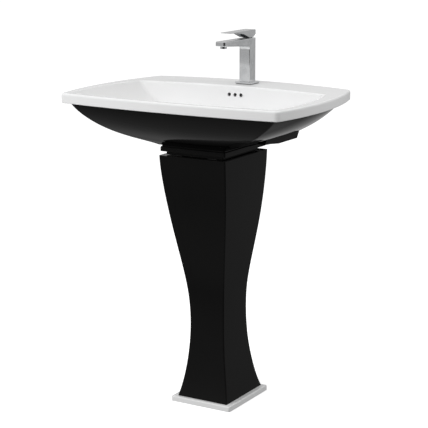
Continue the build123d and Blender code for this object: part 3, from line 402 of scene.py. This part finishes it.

# %% [markdown]
# ### Crevice shade
# Painted shade for places little light reaches: under the lever, in the overflow holes and round
# the foot of the tap. The ambient occlusion node measures how closed in a point is. A painted
# mask could do it too, but it would have to be painted again after any change.

# %% Crevice shade group
crevice_shade, feed, result = new_group("crevice_shade", {"Reach": 0.01, "Open": 0.6, "Closed": 0.2}, ("Mask",))
reach = {"Distance": feed["Reach"]}
open_share = add(crevice_shade, "ShaderNodeAmbientOcclusion", reach, "AO", samples=8)
# The mask is painted shade: it is 1 where a point is closed in and little light reaches it.
shade_share = ramp(crevice_shade, open_share, feed["Closed"], feed["Open"], 1.0, 0.0)
crevice_shade.links.new(shade_share, result["Mask"])
print("crevice group nodes:", len(crevice_shade.nodes))

# %% [markdown]
# ### Polish and machining
# Buffed metal keeps hair-fine lines along the way the wheel went, and turned metal keeps rings.
# A noise stretched along one axis gives both: along the height of the part it makes rings.

# %% Metal lines group
metal_lines, feed, result = new_group(
    "metal_lines", {"Line Width": 0.0004, "Stretch": 25.0, "Smear Size": 0.02}, ("Lines", "Smears")
)
where = add(metal_lines, "ShaderNodeTexCoord", out="Object")
apart = add(metal_lines, "ShaderNodeSeparateXYZ", {"Vector": where})
squeezed = add(
    metal_lines,
    "ShaderNodeCombineXYZ",
    {
        "X": sums(metal_lines, "DIVIDE", apart.outputs["X"], feed["Stretch"]),
        "Y": sums(metal_lines, "DIVIDE", apart.outputs["Y"], feed["Stretch"]),
        "Z": apart.outputs["Z"],
    },
    "Vector",
)
hairlines = noise(metal_lines, feed["Line Width"], 3.0, squeezed)
smears = noise(metal_lines, feed["Smear Size"], 4.0)
metal_lines.links.new(ramp(metal_lines, hairlines, 0.3, 0.7), result["Lines"])
metal_lines.links.new(ramp(metal_lines, smears, 0.35, 0.7), result["Smears"])
print("metal group nodes:", len(metal_lines.nodes))

# %% [markdown]
# ### Moulding grain
# Plastic and rubber take the spark-eroded grain of their mould, and slow flow marks where the
# melt spread. The grain is a height, and the flow is a colour and gloss mask.

# %% Moulding group
mould_grain, feed, result = new_group(
    "mould_grain", {"Grain Size": 0.0006, "Flow Size": 0.015}, ("Grain", "Flow")
)
mould_grain.links.new(noise(mould_grain, feed["Grain Size"], 2.0), result["Grain"])
flow = noise(mould_grain, feed["Flow Size"], 4.0)
mould_grain.links.new(ramp(mould_grain, flow, 0.3, 0.7), result["Flow"])
print("groups:", [g.name for g in bpy.data.node_groups])


# %% [markdown]
# ## The finishes
# Every finish is one Principled shader. Values that are the same all over are set on its own
# sockets, and what changes over the surface comes from the groups.

# %% Start a finish
def new_finish(name, **values):
    """A material with one shader. Values are written with underscores for spaces."""
    made = bpy.data.materials.new(name)
    made.use_nodes = True
    shader = made.node_tree.nodes["Principled BSDF"]
    for title, value in values.items():
        shader.inputs[title.replace("_", " ")].default_value = value
    return made, made.node_tree, shader


def emboss(tree, shader, relief_socket, depth, strength):
    """Feeds a height of depth metres to the shader's normal."""
    feeds = {"Height": relief_socket, "Distance": depth, "Strength": strength}
    bump = add(tree, "ShaderNodeBump", feeds, "Normal")
    tree.links.new(bump, shader.inputs["Normal"])


def fill(tree, shader, title, value):
    """Feeds one of the shader's sockets."""
    tree.links.new(value, shader.inputs[title])


# %% [markdown]
# ### White china
# Vitreous china is a white body under a clear, faintly blue glaze. Its colour hardly changes, so
# the clouds and pinholes are kept very light, and the gloss does most of the work. Deep holes
# such as the overflow get painted shade from the crevice mask. Subsurface light would soften the
# glaze too, but the body is opaque at this size.

# %% White china
def white_glaze(name, bright):
    """White vitreous china, with its glaze a little greyer at thin edges."""
    made, tree, shader = new_finish(name, IOR=1.5, Specular_IOR_Level=0.45)
    skin = place(tree, glaze_surface, {"Wave Size": 0.09, "Peel Size": 0.003, "Peel Share": 0.05})
    edges = place(tree, thin_edges, {"Width": 0.0015, "Unevenness": 0.4})
    marks = place(tree, water_marks, {"Drop Size": 0.005, "Dust Size": 0.08})
    cast = tint(tree, skin["Clouds"], grey(bright, -0.006), grey(bright * 0.965, 0.004))
    cast = tint(tree, sums(tree, "MULTIPLY", edges["Mask"], 0.25), cast, grey(bright * 0.85, 0.02))
    cast = tint(tree, sums(tree, "MULTIPLY", skin["Pinholes"], 0.5), cast, (0.32, 0.27, 0.22, 1.0))
    cast = tint(tree, sums(tree, "MULTIPLY", marks["Dust"], 0.04), cast, grey(0.6, 0.03))
    # Painted shade: crevices and deep holes such as the overflow go near black.
    painted_shade = place(tree, crevice_shade, {"Reach": 0.02, "Open": 0.30, "Closed": 0.10})
    cast = tint(tree, painted_shade["Mask"], cast, grey(0.03, 0.05))
    fill(tree, shader, "Base Color", cast)
    film = ramp(tree, skin["Clouds"], 0.2, 0.8, 0.06, 0.12)
    limed = sums(tree, "ADD", film, sums(tree, "MULTIPLY", marks["Rings"], 0.10))
    fill(tree, shader, "Roughness", limed)
    emboss(tree, shader, skin["Height"], 0.0006, 0.35)
    return made


white_china = white_glaze("white_china", 0.84)
print("made", white_china.name)

# %% [markdown]
# ### Black china
# The underside of the basin and the pedestal carry a black glaze. A black surface has no colour
# of its own to show, so its gloss, its slow waves and the brown of thin edges are what reads as
# glaze rather than as paint.

# %% Black china
def black_glaze(name):
    """Black vitreous china, browner where the glaze is thin, with a trace of dust on top."""
    made, tree, shader = new_finish(name, IOR=1.5, Specular_IOR_Level=0.065)
    skin = place(tree, glaze_surface, {"Wave Size": 0.10, "Peel Size": 0.0035, "Peel Share": 0.05})
    edges = place(tree, thin_edges, {"Width": 0.0018, "Unevenness": 0.6})
    marks = place(tree, water_marks, {"Drop Size": 0.006, "Dust Size": 0.06})
    cast = tint(tree, skin["Clouds"], grey(0.0058), grey(0.0082, 0.02))
    cast = tint(tree, sums(tree, "MULTIPLY", edges["Mask"], 0.4), cast, (0.024, 0.020, 0.017, 1.0))
    cast = tint(tree, sums(tree, "MULTIPLY", skin["Pinholes"], 0.5), cast, grey(0.06, 0.05))
    cast = tint(tree, sums(tree, "MULTIPLY", marks["Dust"], 0.02), cast, grey(0.4))
    fill(tree, shader, "Base Color", cast)
    film = ramp(tree, skin["Clouds"], 0.2, 0.8, 0.05, 0.10)
    limed = sums(tree, "ADD", film, sums(tree, "MULTIPLY", marks["Rings"], 0.06))
    fill(tree, shader, "Roughness", limed)
    emboss(tree, shader, skin["Height"], 0.0006, 0.35)
    return made


black_china = black_glaze("black_china")
print("made", black_china.name)

# %% [markdown]
# ### Tap plating and other metals
# Chrome plating is a thin mirror over brass. It is darker than silver and a little blue, with
# smears and dried drops that roughen it. In crevices the colour goes grey and the metallic share
# goes down, as painted shade. Turned brass and brushed steel use the same line group with finer,
# deeper lines.

# %% Metals
def metal(name, low, high, shine, line_width, stretch, depth, edge_share):
    """A metal between two colours. Shine is the roughness between clean and smeared places."""
    made, tree, shader = new_finish(name)
    lines = place(tree, metal_lines, {"Line Width": line_width, "Stretch": stretch})
    edges = place(tree, thin_edges, {"Width": 0.0007, "Unevenness": 0.6})
    marks = place(tree, water_marks, {"Drop Size": 0.004, "Dust Size": 0.03})
    cast = tint(tree, lines["Smears"], high, low)
    bright = (min(high[0] * 1.25, 0.95), min(high[1] * 1.25, 0.95), min(high[2] * 1.25, 0.95), 1.0)
    cast = tint(tree, sums(tree, "MULTIPLY", edges["Mask"], edge_share), cast, bright)
    cast = tint(tree, sums(tree, "MULTIPLY", marks["Dust"], 0.05), cast, grey(0.5, 0.02))
    # Painted shade: in crevices the colour goes grey and the metallic share drops.
    painted_shade = place(tree, crevice_shade, {"Reach": 0.03, "Open": 0.55, "Closed": 0.15})
    cast = tint(tree, painted_shade["Mask"], cast, grey(0.34, -0.05))
    fill(tree, shader, "Base Color", cast)
    fill(tree, shader, "Metallic", ramp(tree, painted_shade["Mask"], 0.0, 1.0, 1.0, 0.55))
    smeared = ramp(tree, lines["Smears"], 0.0, 1.0, shine[0], shine[1])
    limed = sums(tree, "ADD", smeared, sums(tree, "MULTIPLY", marks["Rings"], 0.12))
    fill(tree, shader, "Roughness", limed)
    emboss(tree, shader, lines["Lines"], depth, 0.5)
    return made


PLATED = {"line_width": 0.0008, "stretch": 12.0, "depth": 4e-6, "edge_share": 0.4}
TURNED = {"line_width": 0.0003, "stretch": 30.0, "depth": 2e-5, "edge_share": 0.6}
BRASS_DULL = (0.50, 0.33, 0.12, 1.0)
BRASS_BRIGHT = (0.68, 0.48, 0.20, 1.0)

chrome = metal("chrome", grey(0.70, -0.015), grey(0.78, -0.012), shine=(0.10, 0.19), **PLATED)
steel = metal("steel", grey(0.42, 0.01), grey(0.55, 0.01), shine=(0.24, 0.36), **TURNED)
brass = metal("brass", BRASS_DULL, BRASS_BRIGHT, shine=(0.2, 0.34), **TURNED)
print("metals:", chrome.name, steel.name, brass.name)

# %% [markdown]
# ### Plastics, rubber and the discs
# The waste fittings are white moulded plastic, the cartridge is grey and black nylon, and the
# seals are rubber, dulled by talc. The two cartridge discs are lapped alumina, which is a dense
# pink-white with a satin face.

# %% Mouldings
def moulding(name, low, high, gloss, grain, depth, bloom):
    """A moulded finish between two colours. Bloom is how much pale dust or talc it carries."""
    made, tree, shader = new_finish(name, IOR=1.46, Specular_IOR_Level=0.4)
    skin = place(tree, mould_grain, {"Grain Size": grain, "Flow Size": 0.02})
    edges = place(tree, thin_edges, {"Width": 0.0009, "Unevenness": 0.7})
    marks = place(tree, water_marks, {"Drop Size": 0.005, "Dust Size": 0.03})
    cast = tint(tree, skin["Flow"], low, high)
    worn = tuple(min(c * 1.35 + 0.02, 0.9) for c in high[:3]) + (1.0,)
    cast = tint(tree, sums(tree, "MULTIPLY", edges["Mask"], 0.45), cast, worn)
    cast = tint(tree, sums(tree, "MULTIPLY", marks["Dust"], bloom), cast, grey(0.55, 0.02))
    fill(tree, shader, "Base Color", cast)
    fill(tree, shader, "Roughness", ramp(tree, skin["Flow"], 0.0, 1.0, gloss[0], gloss[1]))
    emboss(tree, shader, skin["Grain"], depth, 0.6)
    return made


FITTING = {"gloss": (0.30, 0.42), "grain": 0.0006, "depth": 4e-5, "bloom": 0.10}
HOUSING = {"gloss": (0.36, 0.50), "grain": 0.0005, "depth": 5e-5, "bloom": 0.08}
CARRIER = {"gloss": (0.34, 0.48), "grain": 0.0005, "depth": 5e-5, "bloom": 0.08}
SEAL = {"gloss": (0.62, 0.80), "grain": 0.0004, "depth": 8e-5, "bloom": 0.22}
LAPPED = {"gloss": (0.18, 0.28), "grain": 0.0003, "depth": 8e-6, "bloom": 0.0}
ALUMINA_DULL = (0.72, 0.63, 0.60, 1.0)
ALUMINA_BRIGHT = (0.80, 0.73, 0.70, 1.0)

white_plastic = moulding("white_plastic", grey(0.74, 0.01), grey(0.80, 0.012), **FITTING)
grey_plastic = moulding("grey_plastic", grey(0.20, 0.01), grey(0.27, 0.01), **HOUSING)
black_plastic = moulding("black_plastic", grey(0.018), grey(0.032), **CARRIER)
rubber = moulding("rubber", grey(0.016, 0.02), grey(0.034, 0.02), **SEAL)
disc_ceramic = moulding("disc_ceramic", ALUMINA_DULL, ALUMINA_BRIGHT, **LAPPED)
print("mouldings:", white_plastic.name, grey_plastic.name, black_plastic.name, rubber.name)

# %% [markdown]
# ## Which part wears which finish
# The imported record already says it, so the list comes from there, and no part is forgotten.

# %% Dress the parts
FINISHES = {
    "white_china": white_china,
    "black_china": black_china,
    "disc_ceramic": disc_ceramic,
    "chrome": chrome,
    "steel": steel,
    "brass": brass,
    "rubber": rubber,
    "grey_plastic": grey_plastic,
    "black_plastic": black_plastic,
    "white_plastic": white_plastic,
}


def dress(piece, finish):
    """Gives every material slot of a piece the same finish."""
    if not piece.data.materials:
        piece.data.materials.append(finish)
    for entry in piece.material_slots:
        entry.material = finish


for name, part in nodes.items():
    dress(part, FINISHES[slot_of[name]])
print("dressed", len(nodes), "parts")


# %% [markdown]
# ## Small real details
# Screw threads, the honeycomb in the spout and the rolled lips of the overflow holes repeat or
# follow a path. Each could be modelled by hand, but a geometry tree with its sizes as inputs is
# drawn once and used wherever the same rule holds. The result is kept as a plain mesh.

# %% Start a geometry tree
def new_shape(name, sizes, counts=()):
    """An empty geometry tree. Sizes are lengths or shares, counts are whole numbers."""
    tree = bpy.data.node_groups.new(name, "GeometryNodeTree")
    tree.interface.new_socket("Geometry", in_out="INPUT", socket_type="NodeSocketGeometry")
    for title in sizes:
        tree.interface.new_socket(title, in_out="INPUT", socket_type="NodeSocketFloat")
    for title in counts:
        tree.interface.new_socket(title, in_out="INPUT", socket_type="NodeSocketInt")
    tree.interface.new_socket("Place", in_out="INPUT", socket_type="NodeSocketVector")
    tree.interface.new_socket("Finish", in_out="INPUT", socket_type="NodeSocketMaterial")
    tree.interface.new_socket("Geometry", in_out="OUTPUT", socket_type="NodeSocketGeometry")
    return tree, tree.nodes.new("NodeGroupInput").outputs, tree.nodes.new("NodeGroupOutput").inputs


def close_shape(tree, feed, result, shapes):
    """Joins the shapes, puts them in place, and ends the tree in real geometry with its finish."""
    joined = tree.nodes.new("GeometryNodeJoinGeometry")
    for shape in shapes:
        tree.links.new(shape, joined.inputs["Geometry"])
    moved = {"Geometry": joined.outputs["Geometry"], "Translation": feed["Place"]}
    placed = add(tree, "GeometryNodeTransform", moved, "Geometry")
    real = add(tree, "GeometryNodeRealizeInstances", {"Geometry": placed}, "Geometry")
    finished = {"Geometry": real, "Material": feed["Finish"]}
    tree.links.new(add(tree, "GeometryNodeSetMaterial", finished, "Geometry"), result["Geometry"])


def grow(name, tree, values, base=None):
    """Runs a geometry tree on a base mesh with its own values, and returns a plain piece."""
    piece = bpy.data.objects.new(name, base or bpy.data.meshes.new(name + "_base"))
    bpy.context.scene.collection.objects.link(piece)
    growth = piece.modifiers.new("growth", "NODES")
    growth.node_group = tree
    for entry in tree.interface.items_tree:
        if entry.in_out == "INPUT" and entry.name in values:
            growth[entry.identifier] = values[entry.name]
    grown = piece.evaluated_get(bpy.context.evaluated_depsgraph_get())
    plain = bpy.data.meshes.new_from_object(grown)
    piece.modifiers.remove(growth)
    piece.data = plain
    plain.name = name
    print(name, "faces:", len(plain.polygons))
    return piece


# %% [markdown]
# ### Screw threads
# A thread is a three-sided ridge wound round a core. A spiral curve with a three-sided profile
# makes it, and the stud and the waste's tube feed the same tree with different sizes.
# A displaced cylinder would need far more faces for the same crest.

# %% Thread tree
THREAD_SIDES = 3
thread, feed, result = new_shape(
    "screw_thread", ("Crest Radius", "Pitch", "Depth", "Length", "Core Radius"), ("Steps",)
)
mean_radius = sums(thread, "SUBTRACT", feed["Crest Radius"], feed["Depth"])
helix = add(
    thread,
    "GeometryNodeCurveSpiral",
    {
        "Resolution": feed["Steps"],
        "Rotations": sums(thread, "DIVIDE", feed["Length"], feed["Pitch"]),
        "Start Radius": mean_radius,
        "End Radius": mean_radius,
        "Height": feed["Length"],
    },
    "Curve",
)
triangle = {"Resolution": THREAD_SIDES, "Radius": feed["Depth"]}
ridge_profile = add(thread, "GeometryNodeCurvePrimitiveCircle", triangle, "Curve")
ridge = add(
    thread,
    "GeometryNodeCurveToMesh",
    {"Curve": helix, "Profile Curve": ridge_profile, "Fill Caps": True},
    "Mesh",
)
core = add(
    thread,
    "GeometryNodeMeshCylinder",
    {"Vertices": feed["Steps"], "Radius": feed["Core Radius"], "Depth": feed["Length"]},
    "Mesh",
)
half_length = sums(thread, "MULTIPLY", feed["Length"], 0.5)
lift = add(thread, "ShaderNodeCombineXYZ", {"Z": half_length}, "Vector")
raised = add(thread, "GeometryNodeTransform", {"Geometry": core, "Translation": lift}, "Geometry")
close_shape(thread, feed, result, (ridge, raised))
print("thread tree nodes:", len(thread.nodes))

# %% Thread the stud
STUD_PITCH = 0.00125
STUD_RIDGE = 0.0006
STUD_STEPS = 24
CORE_DROP = 1.5  # how far the core lies under the crests, in ridges
stud_low, stud_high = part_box("tap_stud")
stud_radius = (stud_high.x - stud_low.x) / 2
stud_middle = (stud_low + stud_high) / 2
stud = grow("tap_stud_threaded", thread, {
    "Crest Radius": stud_radius,
    "Pitch": STUD_PITCH,
    "Depth": STUD_RIDGE,
    "Length": stud_high.z - stud_low.z - 2 * STUD_RIDGE,
    "Core Radius": stud_radius - CORE_DROP * STUD_RIDGE,
    "Steps": STUD_STEPS,
    "Place": (stud_middle.x, stud_middle.y, stud_low.z + STUD_RIDGE),
    "Finish": FINISHES[slot_of["tap_stud"]],
})
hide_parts("tap_stud")
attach(stud, "sink")

# %% Thread the waste's tube
WASTE_PITCH = 0.0022
WASTE_RIDGE = 0.0006
WASTE_THREAD_GAP = 0.0015
WASTE_STEPS = 72
tube_low, tube_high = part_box("waste_body")
thread_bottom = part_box("trap_inlet_nut")[1].z + WASTE_THREAD_GAP
thread_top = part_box("waste_nut")[0].z - WASTE_THREAD_GAP
tube_radius = (tube_high.x - tube_low.x) / 2
tube_middle = (tube_low + tube_high) / 2
tube_thread = grow("waste_thread", thread, {
    "Crest Radius": tube_radius + WASTE_RIDGE,
    "Pitch": WASTE_PITCH,
    "Depth": WASTE_RIDGE,
    "Length": thread_top - thread_bottom,
    "Core Radius": tube_radius - WASTE_RIDGE,
    "Steps": WASTE_STEPS,
    "Place": (tube_middle.x, tube_middle.y, thread_bottom),
    "Finish": FINISHES[slot_of["waste_body"]],
})
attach(tube_thread, "sink")

# %% [markdown]
# ### The honeycomb in the spout
# An aerator breaks the water up in a moulded honeycomb. Its cells stand in rows, each row half
# a cell along from the last, so a plain grid with every other row moved gives their centres,
# and one six-sided ring is put on each. Cutting holes in a disc would need slow booleans.

# %% Honeycomb tree
CELL_SIDES = 6
ROW_SHARE = sqrt(3) / 2
GRID = 9
RIM_SIDES = 48
honeycomb, feed, result = new_shape("honeycomb", ("Disc Radius", "Cell", "Wall", "Thickness", "Rim"))
span = sums(honeycomb, "MULTIPLY", feed["Cell"], GRID - 1)
centres = add(
    honeycomb,
    "GeometryNodeMeshGrid",
    {
        "Size X": sums(honeycomb, "MULTIPLY", span, ROW_SHARE),
        "Size Y": span,
        "Vertices X": GRID,
        "Vertices Y": GRID,
    },
    "Mesh",
)
# The half keeps a point's number clear of the next row when it is divided and rounded down.
number = add(honeycomb, "GeometryNodeInputIndex", out="Index")
share_of_row = sums(honeycomb, "DIVIDE", sums(honeycomb, "ADD", number, 0.5), GRID)
row = sums(honeycomb, "FLOOR", share_of_row, 0.0)
odd = sums(honeycomb, "MODULO", row, 2.0)
half_cell = sums(honeycomb, "MULTIPLY", sums(honeycomb, "MULTIPLY", odd, feed["Cell"]), 0.5)
shift = add(honeycomb, "ShaderNodeCombineXYZ", {"Y": half_cell}, "Vector")
stagger = {"Geometry": centres, "Offset": shift}
staggered = add(honeycomb, "GeometryNodeSetPosition", stagger, "Geometry")
spot = add(honeycomb, "GeometryNodeInputPosition", out="Position")
from_middle = add(honeycomb, "ShaderNodeVectorMath", {"Vector": spot}, "Value", operation="LENGTH")
room_left = sums(honeycomb, "SUBTRACT", feed["Disc Radius"], feed["Rim"])
outside = sums(honeycomb, "GREATER_THAN", from_middle, room_left)
unwanted = {"Geometry": staggered, "Selection": outside}
kept = add(honeycomb, "GeometryNodeDeleteGeometry", unwanted, "Geometry")
corner_radius = sums(honeycomb, "DIVIDE", feed["Cell"], sqrt(3))
hexagon = {"Resolution": CELL_SIDES, "Radius": corner_radius}
cell_line = add(honeycomb, "GeometryNodeCurvePrimitiveCircle", hexagon, "Curve")
cell_wall = add(
    honeycomb,
    "GeometryNodeCurvePrimitiveQuadrilateral",
    {"Width": feed["Wall"], "Height": feed["Thickness"]},
    "Curve",
)
cell_path = {"Curve": cell_line, "Profile Curve": cell_wall}
cell = add(honeycomb, "GeometryNodeCurveToMesh", cell_path, "Mesh")
cells = add(honeycomb, "GeometryNodeInstanceOnPoints", {"Points": kept, "Instance": cell}, "Instances")
half_rim = sums(honeycomb, "MULTIPLY", feed["Rim"], 0.5)
rim_radius = sums(honeycomb, "SUBTRACT", feed["Disc Radius"], half_rim)
rim_circle = {"Resolution": RIM_SIDES, "Radius": rim_radius}
rim_line = add(honeycomb, "GeometryNodeCurvePrimitiveCircle", rim_circle, "Curve")
rim_wall = add(
    honeycomb,
    "GeometryNodeCurvePrimitiveQuadrilateral",
    {"Width": feed["Rim"], "Height": feed["Thickness"]},
    "Curve",
)
rim_path = {"Curve": rim_line, "Profile Curve": rim_wall}
rim_ring = add(honeycomb, "GeometryNodeCurveToMesh", rim_path, "Mesh")
close_shape(honeycomb, feed, result, (cells, rim_ring))
print("honeycomb tree nodes:", len(honeycomb.nodes))

# %% Fit the honeycomb
CELL_SIZE = 0.0016
WALL_WIDTH = 0.0003
RIM_WIDTH = 0.0009
insert_low, insert_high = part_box("aerator_insert")
insert_middle = (insert_low + insert_high) / 2
comb = grow("aerator_honeycomb", honeycomb, {
    "Disc Radius": (insert_high.x - insert_low.x) / 2,
    "Cell": CELL_SIZE,
    "Wall": WALL_WIDTH,
    "Thickness": insert_high.z - insert_low.z,
    "Rim": RIM_WIDTH,
    "Place": tuple(insert_middle),
    "Finish": FINISHES[slot_of["aerator_insert"]],
})
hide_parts("aerator_insert")
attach(comb, "sink")
comb_low, comb_high = Vector(comb.bound_box[0]), Vector(comb.bound_box[6])
print("honeycomb size:", [round(v, 4) for v in comb_high - comb_low])

# %% [markdown]
# ### Lips of the overflow holes
# Holes are punched in the soft clay and fettled with a wet sponge, and the glaze then rolls over
# their edge in a soft lip. The lip follows the curved wall, so its path is found by casting rays
# at the bowl round each hole, and a round bead is swept along it.

# %% Bead tree
bead, feed, result = new_shape("glaze_bead", ("Bead Radius",), ("Sides",))
path = add(bead, "GeometryNodeMeshToCurve", {"Mesh": feed["Geometry"]}, "Curve")
bead_profile = add(
    bead,
    "GeometryNodeCurvePrimitiveCircle",
    {"Resolution": feed["Sides"], "Radius": feed["Bead Radius"]},
    "Curve",
)
bead_path = {"Curve": path, "Profile Curve": bead_profile}
bead_skin = add(bead, "GeometryNodeCurveToMesh", bead_path, "Mesh")
soft_bead = add(bead, "GeometryNodeSetShadeSmooth", {"Geometry": bead_skin}, "Geometry")
close_shape(bead, feed, result, (soft_bead,))
print("bead tree nodes:", len(bead.nodes))

# %% Roll the lips
HOLE_PITCH = 0.018
HOLE_RADIUS = 0.00525
HOLE_HEIGHT = 0.826
LIP_RADIUS = 0.0007
LIP_REACH = 0.0003
LIP_STEPS = 40
BEAD_SIDES = 8

bowl = nodes["basin_bowl"]
lips = bmesh.new()
lip_reach = HOLE_RADIUS + LIP_REACH
for hole in (-1, 0, 1):
    ring_points = []
    for step in range(LIP_STEPS):
        angle = tau * step / LIP_STEPS
        across = hole * HOLE_PITCH + lip_reach * cos(angle)
        start = Vector((across, 0.0, HOLE_HEIGHT + lip_reach * sin(angle)))
        met, point, _, _ = bowl.ray_cast(start, Vector((0, 1, 0)))
        if met:
            ring_points.append(lips.verts.new(point))
    for point, after in zip(ring_points, ring_points[1:] + ring_points[:1]):
        lips.edges.new((point, after))
lip_paths = bpy.data.meshes.new("overflow_lip_paths")
lips.to_mesh(lip_paths)
lips.free()
overflow_lips = grow("overflow_lips", bead, {
    "Bead Radius": LIP_RADIUS,
    "Sides": BEAD_SIDES,
    "Finish": FINISHES[slot_of["basin_bowl"]],
}, lip_paths)
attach(overflow_lips, "sink")
